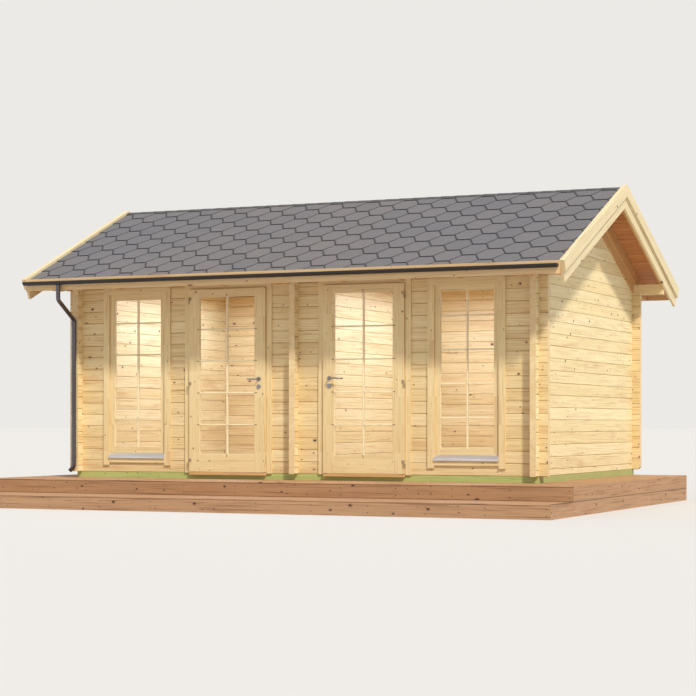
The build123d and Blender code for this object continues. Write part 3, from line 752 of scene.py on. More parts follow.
@dataclass
class Finishes:
    """All materials of the cabin, made once."""

    made: dict[str, bpy.types.Material] = field(default_factory=dict)

    def make(self) -> None:
        """Build every material."""
        foot, course, window, door = PLACE.wall_foot, PLACE.course, PLACE.window_x, PLACE.door_x
        joinery = {"light": "EAD5A3", "deep": "CFAE74", "seam": 0.0, "pitch": 0.31, "tone": 0.2,
                   "knots": 0.34, "knot_size": 0.0068, "pins": 0.12, "red": 0.16, "resin": 0.45}
        brown = {"light": "B68E68", "deep": "825B3D", "knot": "2A1810", "halo": "6E3F28",
                 "heart": "9A6040", "end": "A07858", "rough": 0.66, "knots": 0.5, "knot_size": 0.0115,
                 "pins": 0.24}
        whole = {"seam": 0.0, "pitch": 2.0}
        woods = [
            # planed spruce logs: pale honey, a shadow line in each V joint, small black knots
            Softwood("planed_spruce_front", "EDD9A9", "C39E60", phase=foot, streak=0.5, resin=0.75),
            # the top course: a deeper and redder copy, partly for red-brown streaks of its own and partly
            # painted shade under the eaves, with a joint at mid-height
            Softwood("planed_spruce_top", "E6C792", "BE8E52", phase=foot + PLACE.courses * course,
                     pitch=course / 2, seam=0.55, red=0.75),
            # the gable logs: a paler copy of the same spruce, which is painted light for the sun on the gable
            # walls
            Softwood("planed_spruce_gable", "F2E3B6", "CBAB6C", phase=foot + course / 2, along=Axis.Y,
                     knots=0.3, knot_size=0.008, knot_spacing=0.31, pins=0.14),
            # glued spruce joinery: even and fine, upright grain in uprights and level grain between
            Softwood("glued_spruce_window", split=(window, 0.3137), **joinery),
            Softwood("glued_spruce_window_trim", split=(window, 0.374),
                     **{**joinery, "red": 0.4, "knots": 0.2}),
            Softwood("glued_spruce_door", split=(door, 0.358), **joinery),
            Softwood("glued_spruce_door_frame", split=(door, 0.444), **joinery),
            Softwood("glued_spruce_door_trim", split=(door, 0.495), **joinery),
            # clear planed spruce: the palest wood, with no knots
            Softwood("clear_spruce", "F4E7C2", "DCC392", seam=0.0, pitch=0.31, tone=0.1, knots=0.0, pins=0.0,
                     red=0.0),
            # planed boards of verge and eaves: few but large knots
            Softwood("planed_spruce_verge", "E1D1A8", "C0A676", along=Axis.Y, sloped=True, knots=0.16,
                     knot_size=0.012, knot_spacing=0.5, pins=0.0, red=0.1, resin=0.2, **whole),
            Softwood("planed_spruce_eaves", "E6C492", "C4915A", knots=0.22, knot_size=0.017,
                     knot_spacing=0.7, pins=0.05, red=0.5, **whole),
            # sawn timber: deeper and browner, as little sun reaches it
            Softwood("sawn_spruce_rafter", "CFA36C", "A6743F", along=Axis.Y, sloped=True, knots=0.2,
                     knot_size=0.012, **whole),
            Softwood("sawn_spruce_beam", "CFA36C", "A6743F", **whole),
            Softwood("sawn_pine_joist", "8E6C4C", "6A4A30", along=Axis.Y, **whole),
            # tongued boards: orange brown under the roof, a copy deepened with painted shade, lighter on the
            # floor
            Softwood("tongued_pine_roof", "CE9058", "A56335", stack=Axis.Y, pitch=0.0868, seam=0.22,
                     phase=PLACE.ridge_y, knots=0.1, pins=0.03),
            Softwood("tongued_pine_floor", "DDB880", "BC9258", stack=Axis.Y, pitch=0.095, seam=0.0),
            # brown pressure-treated pine: each board another brown, with dark knots
            Softwood("brown_treated_deck", stack=Axis.Y, pitch=0.150, phase=PLACE.platform_y, seam=0.0,
                     tone=0.8, **brown),
            # the same upright: a shaded joint where one level of boards meets the other
            Softwood("brown_treated_riser", pitch=2.0, phase=PLACE.step_top, seam=0.97, seam_width=0.0068,
                     tone=0.4, turned=True, **brown),
            # the same in the shade of a lip: nearly black brown
            Softwood("brown_treated_shade", "4B2F1F", "382216", knots=0.0, pins=0.0, **whole),
            # green pressure-treated pine: yellow green, a little darker along the grain
            Softwood("green_treated_beam", "BBC67C", "90A35A", knot="4B4A22", halo="72753A", end="A9A868",
                     heart="B0AC6C", knots=0.1, **whole),
            # planed pine underfoot: darker than the door over it
            Softwood("planed_pine_threshold", "D9B27A", "AF8450", knots=0.1, **whole),
        ]
        brushed = (60.0, 60.0, 6.0)
        others = [
            Slate(), Glazing(),
            # satin anodised: a soft white sheen with no clear reflection
            Metal("anodised_aluminium", "E9ECF2", 0.42),
            # brushed stainless: grey with upright hairlines and a clear highlight
            Metal("brushed_steel", "A39E9C", 0.30, stretch=brushed),
            # yellow zinc plate, dulled: near the colour of the wood around it
            Metal("zinc_plate", "B7A17E", 0.42, 0.6, brushed),
            # moulded polypropylene: an even brown with a dull sheen
            Metal("moulded_brown_plastic", "7A5A3C", 0.5, 0.0),
            # coated steel: near-black, half gloss
            Metal("coated_steel", "201D1C", 0.42, 0.0, (3.0, 8.0, 8.0)),
            # bright graphite coat: a long pale highlight down the dark pipe
            Metal("graphite_steel", "6A656A", 0.17, 1.0, (8.0, 8.0, 2.0)),
            # phosphated screws: small dark dots
            Metal("phosphated_steel", "3A2D22", 0.5, 0.6),
        ]
        for finish in woods + others:
            self.made[finish.name] = finish.dress()

    def of(self, name: str) -> bpy.types.Material:
        """The material of that name."""
        return self.made[name]


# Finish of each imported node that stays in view
NODE_FINISHES: dict[str, tuple[str, ...]] = {
    "planed_spruce_front": ("front_wall_left", "front_wall_centre", "front_wall_right", "back_wall"),
    "planed_spruce_top": ("front_wall_top",),
    "planed_spruce_gable": ("left_gable_wall", "right_gable_wall", "partition_wall"),
    "glued_spruce_window": ("window_frames",),
    "glued_spruce_window_trim": ("window_trims",),
    "glued_spruce_door": ("left_door_leaf", "right_door_leaf"),
    "glued_spruce_door_frame": ("door_frames",),
    "glued_spruce_door_trim": ("door_trims",),
    "planed_spruce_verge": ("bargeboards", "bargeboard_covers"),
    "planed_spruce_eaves": ("eaves_boards",),
    "sawn_spruce_rafter": ("rafters", "gable_trims"),
    "sawn_spruce_beam": ("ridge_beam", "eaves_blocking"),
    "sawn_pine_joist": ("deck_joists",),
    "brown_treated_riser": ("deck_fascias",),
    "green_treated_beam": ("foundation_beams",),
    "planed_pine_threshold": ("door_thresholds",),
    "clear_glass": ("window_glass", "left_door_glass", "right_door_glass"),
    "anodised_aluminium": ("window_sills",),
    "brushed_steel": ("left_door_roses", "right_door_roses", "left_door_lever", "right_door_lever"),
    "zinc_plate": ("frame_hinges", "left_door_hinges", "right_door_hinges"),
    "coated_steel": ("gutters",),
    "graphite_steel": ("downpipes",),
}


@dataclass
class Deck:
    """Treads of the two levels, laid board by board along X, with the screws of all boards."""

    finishes: Finishes
    board: float = 0.145
    gap: float = 0.005
    thickness: float = 0.028
    lip: float = 0.010
    nosing: float = 0.002
    fascia: float = 0.022
    arris: float = 0.0035
    side_play: float = 0.0004       # from the treads to the upright boards around them
    joint_play: float = 0.0015      # half of the gap in a butt joint
    narrowest: float = 0.02         # least width of a ripped board
    joist_inset: float = 0.0228     # from an upright board to the middle of the first joist
    joist_count: int = 12
    joint_joists: tuple[int, ...] = (3, 8, 5, 7)        # joist under the butt joint, row by row
    screw_corners: int = 6
    tread_head: tuple[float, float] = (0.0042, 0.0006)      # radius and height of a screw's head
    tread_inset: float = 0.022      # from a tread's edge to its screws
    back_inset: float = 0.01        # nearest screw to the back edge
    wall_clear: float = 0.005       # nearest screw to the walls
    riser_head: tuple[float, float] = (0.0060, 0.0008)
    low_screws: tuple[float, float] = (0.036, 0.104)        # heights in the lower upright boards
    front_screws: tuple[float, float] = (0.186, 0.258)      # in the platform's front one
    side_screws: tuple[float, float] = (0.190, 0.266)       # in the platform's side ones
    side_pitch: float = 0.64        # from one pair of screws to the next on a side
    side_ends: tuple[float, float] = (0.05, 0.03)       # clear length at the front and the back
    side_sunk: float = 0.0009       # how far the heads on the sides are let in
    strip: tuple[float, float, float] = (0.0012, 0.003, 0.0002)     # depth, height and arris of the dark strip of painted shade in a joint
    strip_proud: float = 0.0010     # out of the upright board
    strip_drop: float = 0.0032      # foot of the strip under the lip
    strip_end: float = 0.001

    def joists(self) -> np.ndarray:
        """Places of the joists along X."""
        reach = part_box("deck_boards")[1].x - self.fascia - self.joist_inset
        return np.linspace(-reach, reach, self.joist_count)

    def first_board(self) -> np.ndarray:
        """Outline of the board at the front edge: its lip laps the upright board below it."""
        lap, a, t = self.nosing + self.fascia + self.side_play, self.arris, self.thickness
        return np.array([(lap, 0), (self.board, 0), (self.board, t - a), (self.board - a, t), (a, t),
                         (0, t - a), (0, t - self.lip), (lap, t - self.lip)])

    def level(self, name: str, node: str) -> np.ndarray:
        """Lay one level.

        Rows start at the front edge and keep the same pitch, and the last one is ripped to fit.
        Each row is two boards with a butt joint on a joist, another one than its neighbours'. The
        upright boards of the two sides frame all rows, and the front lip runs on over their ends.

        Args:
            name: of the piece.
            node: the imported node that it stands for.

        Returns:
            Y of the front edge of each row.
        """
        low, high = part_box(node)
        inner = high.x - self.fascia - self.side_play
        rows = np.arange(low.y, high.y - self.narrowest, self.board + self.gap)
        widths = np.minimum(self.board, high.y - rows)
        joists = self.joists()
        shapes = []
        for n, (y, width) in enumerate(zip(rows, widths)):
            joint = joists[self.joint_joists[n % len(self.joint_joists)]]
            starts = np.array([-inner, joint + self.joint_play])
            ends = np.array([joint - self.joint_play, inner])
            outline = rounded_board(float(width), self.thickness, self.arris) if n else self.first_board()
            shapes.append(prisms(outline, np.tile([y, low.z], (2, 1)), starts, ends, Axis.X))
        corner = rounded_board(self.nosing + self.fascia, self.lip, self.arris)
        places = np.tile([low.y, high.z - self.lip], (2, 1))
        shapes.append(prisms(corner, places, np.array([low.x, inner]), np.array([-inner, high.x]), Axis.X))
        build(name, joined(shapes), self.finishes.of("brown_treated_deck"), replaces=(node,))
        return rows

    def make(self) -> None:
        """Lay both levels and drive the screws."""
        heads = []
        for name, node, top in (("platform_boards", "deck_boards", PLACE.deck_top),
                                ("lower_boards", "step_boards", PLACE.step_top)):
            rows = self.level(name, node)
            y = np.concatenate([rows + self.tread_inset, rows + self.board - self.tread_inset])
            y = y[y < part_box(node)[1].y - self.back_inset]
            spots = np.array([(x, row, top) for row in y for x in self.joists()])
            outside = ((spots[:, 1] < PLACE.front_y - self.wall_clear)
                       | (np.abs(spots[:, 0]) > PLACE.gable_x + self.wall_clear))
            heads.append(spots[outside])
        shape = disc_heads(np.concatenate(heads), (0, 0, 1), *self.tread_head, self.screw_corners)
        build("deck_screws", shape, self.finishes.of("phosphated_steel"))
        self.riser_screws()
        self.riser_joint_shade()

    def riser_screws(self) -> None:
        """Pairs of screws through the upright boards of the front and of both sides."""
        low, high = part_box("deck_fascias")
        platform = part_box("deck_boards")[0].y + self.nosing
        fronts = [(low.y, self.low_screws), (platform, self.front_screws)]
        spots = np.array([(x, y, z) for y, levels in fronts for z in levels for x in self.joists()])
        shapes = [disc_heads(spots, (0, -1, 0), *self.riser_head, self.screw_corners)]
        front, back = self.side_ends
        along = np.arange(low.y + front, high.y - back, self.side_pitch)
        for side, face in ((-1, low.x + self.side_sunk), (1, high.x - self.side_sunk)):
            spots = [(face, y, z) for y in along for z in self.low_screws]
            spots += [(face, y, z) for y in along if y > platform + back for z in self.side_screws]
            shapes.append(disc_heads(np.array(spots), (side, 0, 0), *self.riser_head, self.screw_corners))
        build("riser_screws", joined(shapes), self.finishes.of("phosphated_steel"))

    def riser_joint_shade(self) -> None:
        """Painted shade in the joints under the lips: a real joint is 0.5 mm high, drawn at 3 mm so that it
        shows.
        """
        shapes = []
        for node in ("deck_boards", "step_boards"):
            low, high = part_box(node)
            place = np.array([[low.y + self.nosing - self.strip_proud, high.z - self.lip - self.strip_drop]])
            shapes.append(prisms(rounded_board(*self.strip), place, np.array([low.x + self.strip_end]),
                                 np.array([high.x - self.strip_end]), Axis.X))
        build("riser_joint_shade", joined(shapes), self.finishes.of("brown_treated_shade"))


@dataclass
class Roof:
    """Tongued boards, felt shingles cut as hexagons, and the caps along the ridge."""

    finishes: Finishes
    board_width: float = 0.095
    board_play: float = 0.0003
    groove: float = 0.005           # depth and width of the V joint's side
    tab: float = 0.492              # from one tab to the next in a row
    flat: float = 0.158             # straight foot of a tab
    exposure: float = 0.177         # from one row to the next
    felt: float = 0.0032
    seat: float = 0.0006            # boards to the shingles' underside
    corner_step: float = 0.001      # between the two points of a tab's corner
    head_lap: float = 0.008         # how far a tab's head runs under the next but one
    # width of the painted shade band along a tab's foot and lower sides
    shade_width: float = 0.022
    lit_rim: float = 0.25           # shade along a tab's lower right side, which faces the light
    tab_points: int = 24
    first_column: float = 2.15      # X of the column numbered 0
    rows: tuple[int, int] = (-2, 15)
    columns: tuple[int, int] = (-12, 4)
    cut_play: float = 0.0004        # from the shingles to the eaves boards
    underlay_felt: float = 0.0004
    underlay_seat: float = 0.0002
    underlay_ends: tuple[float, float] = (0.001, 0.0005)        # play at the ridge and the eaves
    # share of painted shade over the underlay
    underlay_shade: float = 0.6
    cap: float = 0.25
    cap_show: float = 0.177
    cap_wing: float = 0.060
    cap_lift: float = 1.1           # rise of a cap's upper end, in thicknesses of felt
    # share of painted shade at a cap's raised end
    cap_shade: float = 0.3

    def make(self) -> None:
        """Build the roof's surfaces."""
        self.boards()
        self.shingles()
        self.caps()

    def sided(self, outline: np.ndarray, places: np.ndarray, side: int) -> Shape:
        """Carry an outline along the whole ridge on one roof side.

        Args:
            outline: corners of the outline, down the slope and off it.
            places: where each copy of it lies, down the slope and off it.
            side: -1 for the front and 1 for the back.

        Returns:
            The shape.
        """
        ends = np.full(len(places), PLACE.roof_x)
        shape = prisms(outline, places, -ends, ends, Axis.X)
        x, down, lift = shape.points.T
        shape.points = PLACE.slope(side, x, down, lift)
        return shape

    def boards(self) -> None:
        """Boards that run along the ridge, with a V joint on their underside."""
        sin, cos = math.sin(PLACE.pitch), math.cos(PLACE.pitch)
        start = -PLACE.rafter * sin
        end = PLACE.eaves - self.board_play - PLACE.covered * sin
        count = round((end - start) / cos / self.board_width)
        width = (end - start) / cos / count
        g, p = self.groove, self.board_play
        outline = np.array([(g, 0), (width - g, 0), (width - p, g), (width - p, PLACE.board),
                            (p, PLACE.board), (p, g)])
        places = np.stack([start / cos + np.arange(count) * width, np.full(count, PLACE.rafter)], 1)
        build("roof_boarding", joined([self.sided(outline, places, side) for side in (-1, 1)]),
              self.finishes.of("tongued_pine_roof"), replaces=("roof_boards",))

    def hexagons(self, side: int, rows: np.ndarray, columns: np.ndarray) -> Shape:
        """Hexagonal tabs of one roof side.

        A tab's outline goes from its straight foot outwards to its widest place one exposure up,
        and back in to a straight head two exposures up. At its widest place each side has two
        points, one for the lower and one for the upper side. A second ring lies inside the first,
        further in along the foot and the lower sides. The tab leans so that its foot lies on two
        layers and its head on none. The mark "rim" is the share of painted shade, which stands for
        the tab's dark edge and the shadow that it casts on the row below: 1 along the outer foot and
        the lower left side, less on the lower right, which faces the light, and 0 on the upper sides
        and the inner ring.

        Args:
            side: -1 for the front and 1 for the back.
            rows: number of each tab's row, from the eaves.
            columns: number of each tab in its row.

        Returns:
            The tabs.
        """
        half, wide, tall = self.flat / 2, self.tab / 2 - self.flat / 2, self.exposure
        r, step, lap = self.shade_width, self.corner_step, self.head_lap
        ring = np.array([(-half, 0), (half, 0), (wide, tall), (wide, tall + step), (half, 2 * tall),
                         (-half, 2 * tall), (-wide, tall + step), (-wide, tall)])
        inset = np.array([(0.6 * r, r), (-0.4 * r, r), (-0.6 * r, 0), (-0.2 * r, 0), (0, -0.3 * r),
                          (0, -0.3 * r), (0.2 * r, 0), (1.1 * r, 0)])
        n = len(ring)
        head = ring + np.where(ring[:, 1:] > 1.5 * tall, lap, 0.0) * np.array([0.0, 1.0])
        flat = np.concatenate([head, head, ring + inset])
        lean = 2 * self.felt * (1 - flat[:, 1] / (2 * tall + lap))
        above = np.concatenate([np.zeros(n), np.full(2 * n, self.felt)]) + lean
        # share of painted shade at each point of the outer top ring
        edge = np.array([1.0, 1.0, self.lit_rim, 0.0, 0.0, 0.0, 0.0, 1.0])
        rim = np.concatenate([np.ones(n), edge, np.zeros(n)])
        faces = band(n, 0, n).tolist() + band(n, n, 2 * n).tolist()
        faces += [list(range(n))[::-1], list(range(2 * n, 3 * n))]
        middle_x = (columns + 0.5 * (rows % 2)) * self.tab + self.first_column
        up = rows * self.exposure
        lift = PLACE.covered + self.seat
        foot = PLACE.eaves / math.cos(PLACE.pitch) - lift * math.tan(PLACE.pitch)
        x = middle_x[:, None] + flat[None, :, 0]
        down = foot - up[:, None] - flat[None, :, 1]
        points = PLACE.slope(side, x, down, lift + np.broadcast_to(above, x.shape))
        chance = np.random.default_rng(3 + side).random(len(rows))
        return Shape(points.reshape(-1, 3), repeated(faces, self.tab_points, len(rows)),
                     {"tone": np.repeat(chance, self.tab_points), "rim": np.tile(rim, len(rows))})

    def shingles(self) -> None:
        """All tabs over an underlay, cut at the verges, the eaves and the ridge."""
        grid = np.stack(np.meshgrid(np.arange(*self.rows), np.arange(*self.columns)), -1).reshape(-1, 2)
        shapes = []
        for side in (-1, 1):
            tabs = self.hexagons(side, grid[:, 0], grid[:, 1])
            inside = np.abs(tabs.points.reshape(-1, self.tab_points, 3)[:, :, 0]).min(1) < PLACE.roof_x
            shapes.append(self.cut(self.hexagons(side, grid[inside, 0], grid[inside, 1]), side))
        build("shingle_tabs", joined(shapes), self.finishes.of("felt_shingle"),
              replaces=("roof_shingles",))
        self.underlay()

    def cut(self, shape: Shape, side: int) -> Shape:
        """Cut tabs by the planes of the verges, the eaves board and the ridge.

        Args:
            shape: the tabs.
            side: -1 for the front and 1 for the back.

        Returns:
            What is left, closed again.
        """
        mesh = meshed("cutting", shape)
        work = bmesh.new()
        work.from_mesh(mesh)
        eaves, ridge = PLACE.ridge_y + side * (PLACE.eaves - self.cut_play), PLACE.ridge_y + side * self.seat
        planes = [((PLACE.roof_x, 0, 0), (1, 0, 0)), ((-PLACE.roof_x, 0, 0), (-1, 0, 0)),
                  ((0, eaves, 0), (0, side, 0)), ((0, ridge, 0), (0, -side, 0))]
        for place, normal in planes:
            geometry = work.verts[:] + work.edges[:] + work.faces[:]
            bmesh.ops.bisect_plane(work, geom=geometry, dist=1e-6, plane_co=place, plane_no=normal,
                                   clear_outer=True)
            bmesh.ops.holes_fill(work, edges=[e for e in work.edges if e.is_boundary], sides=0)
        work.to_mesh(mesh)
        work.free()
        points = np.zeros(len(mesh.vertices) * 3, np.float32)
        mesh.vertices.foreach_get("co", points)
        marks = {}
        for key in shape.marks:
            marks[key] = np.zeros(len(mesh.vertices), np.float32)
            mesh.attributes[key].data.foreach_get("value", marks[key])
        faces = [list(p.vertices) for p in mesh.polygons]
        bpy.data.meshes.remove(mesh)
        return Shape(points.reshape(-1, 3), faces, marks)

    def underlay(self) -> None:
        """Thin felt over the boards, which closes the gaps between tabs, darkened all over with painted
        shade.
        """
        low, tan = PLACE.covered + self.underlay_seat, math.tan(PLACE.pitch)
        high = low + self.underlay_felt
        top = self.underlay_ends[0] - low * tan
        end = (PLACE.eaves - self.underlay_ends[1]) / math.cos(PLACE.pitch) - high * tan
        outline = np.array([(top, low), (end, low), (end, high), (top, high)])
        shapes = []
        for side in (-1, 1):
            shape = self.sided(outline, np.zeros((1, 2)), side)
            # painted shade over the whole underlay, which only shows in the gaps under the tabs
            shape.marks["rim"] = np.full(len(shape.points), self.underlay_shade)
            shapes.append(shape)
        build("roof_underlay", joined(shapes), self.finishes.of("felt_shingle"))

    def caps(self) -> None:
        """Folded caps along the ridge, each lapped over the next from the left.

        The outline has two wings that run down the slopes from the fold. Each cap rises evenly
        from its right end to its left one, which shows as a thin dark rim of painted shade,
        strongest at the left end and fading towards the right one.
        """
        base = PLACE.covered + self.seat + 2 * self.felt
        count = int((2 * PLACE.roof_x - self.cap) / self.cap_show) + 1
        starts = -PLACE.roof_x + np.arange(count) * (2 * PLACE.roof_x - self.cap) / (count - 1)
        cos, thick = math.cos(PLACE.pitch), self.felt
        across, fall = self.cap_wing * cos, -self.cap_wing * math.sin(PLACE.pitch)
        apex = PLACE.bearing + PLACE.half_depth * math.tan(PLACE.pitch) + base / cos
        outline = np.array([(-across, fall), (0, 0), (across, fall), (across, fall + thick), (0, thick / cos),
                            (-across, fall + thick)])
        shape = prisms(outline, np.tile([PLACE.ridge_y, apex], (count, 1)), starts, starts + self.cap, Axis.X)
        lap = (shape.points[:, 0] - np.repeat(starts, 2 * len(outline))) / self.cap
        shape.points[:, 2] += (1 - lap) * thick * self.cap_lift
        # painted shade at each cap's raised left end, fading towards its right end
        shape.marks["rim"] = np.where(lap < 0.01, self.cap_shade, 0.0)
        build("ridge_caps", shape, self.finishes.of("felt_shingle"), replaces=("ridge_capping",))


@dataclass
class Glass:
    """Glazing bars and beads of a window or a door, and the pins of a door's bars."""

    finishes: Finishes
    bar: float = 0.017
    proud: float = 0.010
    arris: float = 0.003
    bead: float = 0.004
    seat: float = 0.0002            # pane to the bars
    rows: int = 4
    window_bars: tuple[float, float] = (1.748, 0.3725)      # highest bar over the walls' foot, and spacing
    door_bars: tuple[float, float] = (1.653, 0.366)
    pane_width: float = 0.6268
    pin: tuple[float, float, float] = (0.030, 0.008, 0.0016)        # length, width and height
    pin_arris: float = 0.0004
    pin_seat: float = 0.0001        # leaf to the pins
    pin_lap: float = 0.002          # over the edge of the pane's opening

    def strip(self, middle: float, size: float, face: float, out: int) -> np.ndarray:
        """Outline of a bar: a strip on the pane with its two outer arrises off.

        Args:
            middle: place of its middle across the pane.
            size: half of its width.
            face: Y of the pane's face.
            out: -1 or 1, the way that the face looks along Y.

        Returns:
            The outline's corners, across the pane and through it.
        """
        root, tip = face + out * self.seat, face + out * self.proud
        soft, a = tip - out * self.arris, self.arris
        return np.array([(middle - size, root), (middle + size, root), (middle + size, soft),
                         (middle + size - a, tip), (middle - size + a, tip), (middle - size, soft)])

    def bars(self, name: str, node: str, body: str, spans: list[tuple[float, float]],
             heights: tuple[float, float]) -> None:
        """Lay the bars and beads on both faces of the panes.

        An upright bar stands in the middle, level bars follow each other at one spacing, and a
        bead runs around the edge.

        Args:
            name: of the piece.
            node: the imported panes.
            body: the body that they move with.
            spans: X of each pane's two sides.
            heights: of the highest level bar over the walls' foot, and from bar to bar.
        """
        low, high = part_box(node)
        half, b, here = self.bar / 2, self.bead / 2, np.zeros((1, 2))
        levels = PLACE.wall_foot + heights[0] - heights[1] * np.arange(self.rows)
        shapes = []
        for face, out in ((low.y, -1), (high.y, 1)):
            for left, right in spans:
                for x, size in (((left + right) / 2, half), (left + b, b), (right - b, b)):
                    shapes.append(prisms(self.strip(x, size, face, out), here, np.array([low.z]),
                                         np.array([high.z]), Axis.Z))
                for z, size in [(z, half) for z in levels] + [(low.z + b, b), (high.z - b, b)]:
                    shapes.append(prisms(self.strip(z, size, face, out)[:, ::-1], here,
                                         np.array([left + self.bead]), np.array([right - self.bead]), Axis.X))
        build(name, joined(shapes), self.finishes.of("clear_spruce"), body=body)

    def make(self) -> None:
        """Bars of the windows and of both doors."""
        low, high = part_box("window_glass")
        self.bars("window_bars", "window_glass", "cabin",
                  [(low.x, low.x + self.pane_width), (high.x - self.pane_width, high.x)], self.window_bars)
        for side in ("left", "right"):
            node = f"{side}_door_glass"
            low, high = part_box(node)
            self.bars(f"{side}_door_bars", node, f"door_{side}", [(low.x, high.x)], self.door_bars)
            self.pins(side)

    def pins(self, side: str) -> None:
        """Brown pins that hold the ends of a door's bars on the face of its leaf.

        Args:
            side: of the door.
        """
        low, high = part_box(f"{side}_door_glass")
        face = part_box(f"{side}_door_leaf")[0].y
        length, width, height = self.pin
        levels = PLACE.wall_foot + self.door_bars[0] - self.door_bars[1] * np.arange(self.rows)
        level = rounded_board(height - self.pin_seat, width, self.pin_arris)
        upright = rounded_board(width, height - self.pin_seat, self.pin_arris)
        shapes = []
        for start in (low.x - length, high.x - self.pin_lap):
            places = np.stack([np.full(self.rows, face - height), levels - width / 2], 1)
            starts = np.full(self.rows, start)
            shapes.append(prisms(level, places, starts, starts + length + self.pin_lap, Axis.X))
        for start in (low.z - length, high.z - self.pin_lap):
            place = np.array([[(low.x + high.x) / 2 - width / 2, face - height]])
            shapes.append(prisms(upright, place, np.array([start]), np.array([start + length + self.pin_lap]),
                                 Axis.Z))
        build(f"{side}_door_pins", joined(shapes), self.finishes.of("moulded_brown_plastic"),
              body=f"door_{side}")


@dataclass
class Rainwater:
    """Sleeves and clips of the two pipes."""

    finishes: Finishes
    radius: float = 0.0251
    thick: float = 0.0024
    stand: float = 0.10             # log ends in front of the wall
    clear: float = 0.0002           # log ends to the bands
    bands: tuple[tuple[float, float], ...] = (       # foot and head of each
        (2.105, 2.150), (1.90, 1.92), (0.90, 0.92), (0.53, 0.575))
    corners: int = 24

    def make(self) -> None:
        """Put each band around each pipe, flattened where the pipe meets the log ends.

        A band has four rings of points: outside low, outside high, inside high and inside low.
        """
        n = self.corners
        turn = np.linspace(0, 2 * math.pi, n, endpoint=False)
        circle = np.stack([np.cos(turn), np.sin(turn)], 1)
        faces = np.concatenate([band(n, k * n, (k + 1) % 4 * n) for k in range(4)]).tolist()
        outer = self.radius + self.thick
        shapes = []
        for side in (-1, 1):
            wall = PLACE.ridge_y + side * (PLACE.half_depth + self.stand)
            middle = np.array([PLACE.pipe_x, wall + side * self.radius])
            for low, high in self.bands:
                rings = ((outer, low), (outer, high), (self.radius, high), (self.radius, low))
                points = np.concatenate([np.column_stack([middle + circle * r, np.full(n, z)])
                                         for r, z in rings])
                away = (points[:, 1] - wall) * side
                points[:, 1] = np.where(away < self.clear, wall + side * self.clear, points[:, 1])
                shapes.append(Shape(points, faces))
        build("pipe_bands", joined(shapes), self.finishes.of("graphite_steel"))


@dataclass
class Floor:
    """Floor boards of the two rooms."""

    finishes: Finishes
    width: float = 0.095
    gap: float = 0.001
    arris: float = 0.0015
    play: float = 0.002             # boards to the partition

    def make(self) -> None:
        """Lay the boards along X."""
        low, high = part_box("floor_boards")
        count = round((high.y - low.y) / self.width)
        width = (high.y - low.y) / count
        outline = rounded_board(width - self.gap, high.z - low.z, self.arris)
        rows = low.y + np.arange(count) * width
        inner = PLACE.log / 2 + self.play
        places = np.stack([np.tile(rows, 2), np.full(2 * count, low.z)], 1)
        starts = np.repeat([low.x, inner], count)
        ends = np.repeat([-inner, high.x], count)
        build("room_floors", prisms(outline, places, starts, ends, Axis.X),
              self.finishes.of("tongued_pine_floor"), replaces=("floor_boards",))


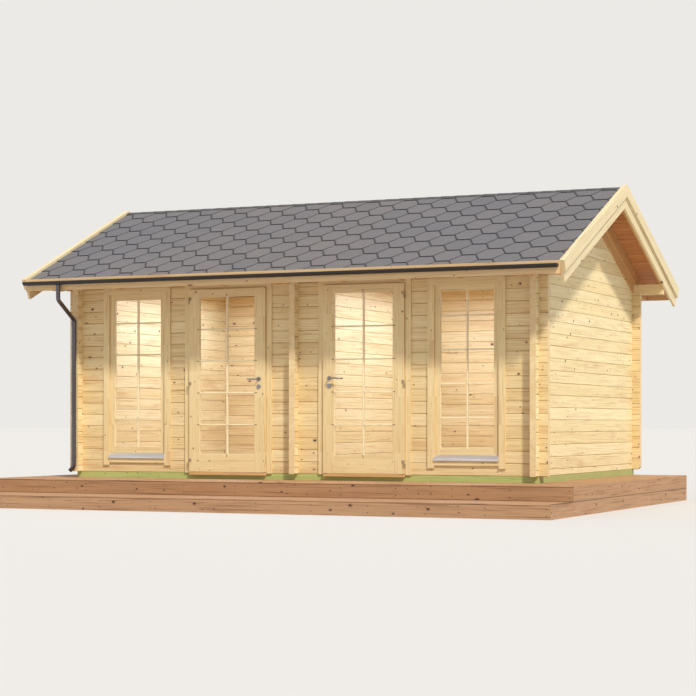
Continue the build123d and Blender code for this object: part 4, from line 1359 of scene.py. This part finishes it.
@dataclass
class Studio:
    """Pale floor, soft light and the camera."""

    floor_size: float = 300.0
    floor_colour: str = "D2D1CF"
    camera_place: tuple[float, float, float] = (9.390, -20.72615, 0.9493)
    camera_turn: float = 24.259     # degrees from looking along Y
    sensor: float = 36.0
    lens: float = 98.48
    shift: float = 0.10793
    sight: float = 1000.0
    sky_light: tuple[str, float] = ("F6F8FB", 0.60)         # colour and strength
    backdrop: tuple[str, float] = ("ECEAE6", 1.0)
    sun_light: tuple[str, float] = ("FFFAF3", 3.3)
    sun_size: float = 5.0           # degrees, so that shadows have soft edges
    sun_turn: tuple[float, float, float] = (42.0, 0.0, 50.0)        # degrees, from straight overhead
    room_light: tuple[str, float] = ("D4E3FF", 102.0)       # colour and watts
    room_lamp: tuple[float, float] = (2.2, 2.6)
    room_x: float = 1.45
    room_height: float = 2.6

    def make(self) -> None:
        """Build the floor, the light and the camera."""
        scene = bpy.context.scene
        scene.view_settings.view_transform = "Standard"
        self.ground()
        self.sky()
        self.lamps()
        camera = bpy.data.cameras.new("camera")
        camera.sensor_width = self.sensor
        camera.lens = self.lens
        camera.shift_y = self.shift
        camera.clip_end = self.sight
        scene.camera = self.placed(camera, self.camera_place, (90.0, 0.0, self.camera_turn))

    def placed(self, data: Any, place: tuple[float, float, float],
               turn: tuple[float, float, float] = (0.0, 0.0, 0.0)) -> bpy.types.Object:
        """Put a camera, a light or a mesh in the scene.

        Args:
            data: what is placed.
            place: where.
            turn: degrees about the three axes.

        Returns:
            Its object.
        """
        holder = bpy.data.objects.new(data.name, data)
        holder.location = place
        holder.rotation_euler = [math.radians(angle) for angle in turn]
        bpy.context.scene.collection.objects.link(holder)
        return holder

    def ground(self) -> None:
        """Plain pale floor, level with the ground."""
        s = self.floor_size
        mesh = bpy.data.meshes.new("ground")
        mesh.from_pydata([(-s, -s, 0), (s, -s, 0), (s, s, 0), (-s, s, 0)], [], [[0, 1, 2, 3]])
        mesh.materials.append(blank("pale_floor", self.floor_colour, 0.9)[0])
        self.placed(mesh, (0.0, 0.0, 0.0))

    def sky(self) -> None:
        """Even light from all round, with a pale background for the camera, metal and glass."""
        world = bpy.data.worlds.new("studio")
        bpy.context.scene.world = world
        world.use_nodes = True
        tree = world.node_tree
        tree.nodes.clear()
        rays = add(tree, "LightPath").outputs
        seen = rays["Is Camera Ray"]
        for ray in ("Is Glossy Ray", "Is Transmission Ray"):
            seen = add(tree, "Math", seen, rays[ray], operation="MAXIMUM")
        even = add(tree, "Background", *self.sky_light)
        shown = add(tree, "Background", *self.backdrop)
        add(tree, "OutputWorld", add(tree, "MixShader", seen, even, shown))

    def lamps(self) -> None:
        """Soft sun from the front right, and a lamp in each room."""
        sun = bpy.data.lights.new("key", "SUN")
        sun.color, sun.energy = linear(self.sun_light[0])[:3], self.sun_light[1]
        sun.angle = math.radians(self.sun_size)
        self.placed(sun, (0.0, 0.0, 0.0), self.sun_turn)
        for name, side in (("left_lamp", -1), ("right_lamp", 1)):
            lamp = bpy.data.lights.new(name, "AREA")
            lamp.shape = "RECTANGLE"
            lamp.size, lamp.size_y = self.room_lamp
            lamp.color, lamp.energy = linear(self.room_light[0])[:3], self.room_light[1]
            place = (side * self.room_x, PLACE.ridge_y, self.room_height)
            self.placed(lamp, place).visible_camera = False


def dress_nodes(finishes: Finishes) -> None:
    """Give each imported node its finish.

    Args:
        finishes: the materials.
    """
    for name, nodes in NODE_FINISHES.items():
        material = finishes.of(name)
        for node in nodes:
            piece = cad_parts[node]
            if not piece.material_slots:
                piece.data.materials.append(material)
            for place in piece.material_slots:
                place.material = material
            LOG.info("%s: finished as %s", node, name)


def main() -> None:
    """Build the studio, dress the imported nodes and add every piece."""
    logging.basicConfig(level=logging.INFO, format="%(message)s")
    Studio().make()
    finishes = Finishes()
    finishes.make()
    dress_nodes(finishes)
    for part in (Deck(finishes), Roof(finishes), Glass(finishes), Rainwater(finishes), Floor(finishes)):
        part.make()
        LOG.info("%s is done", type(part).__name__)


if __name__ == "__main__":
    main()
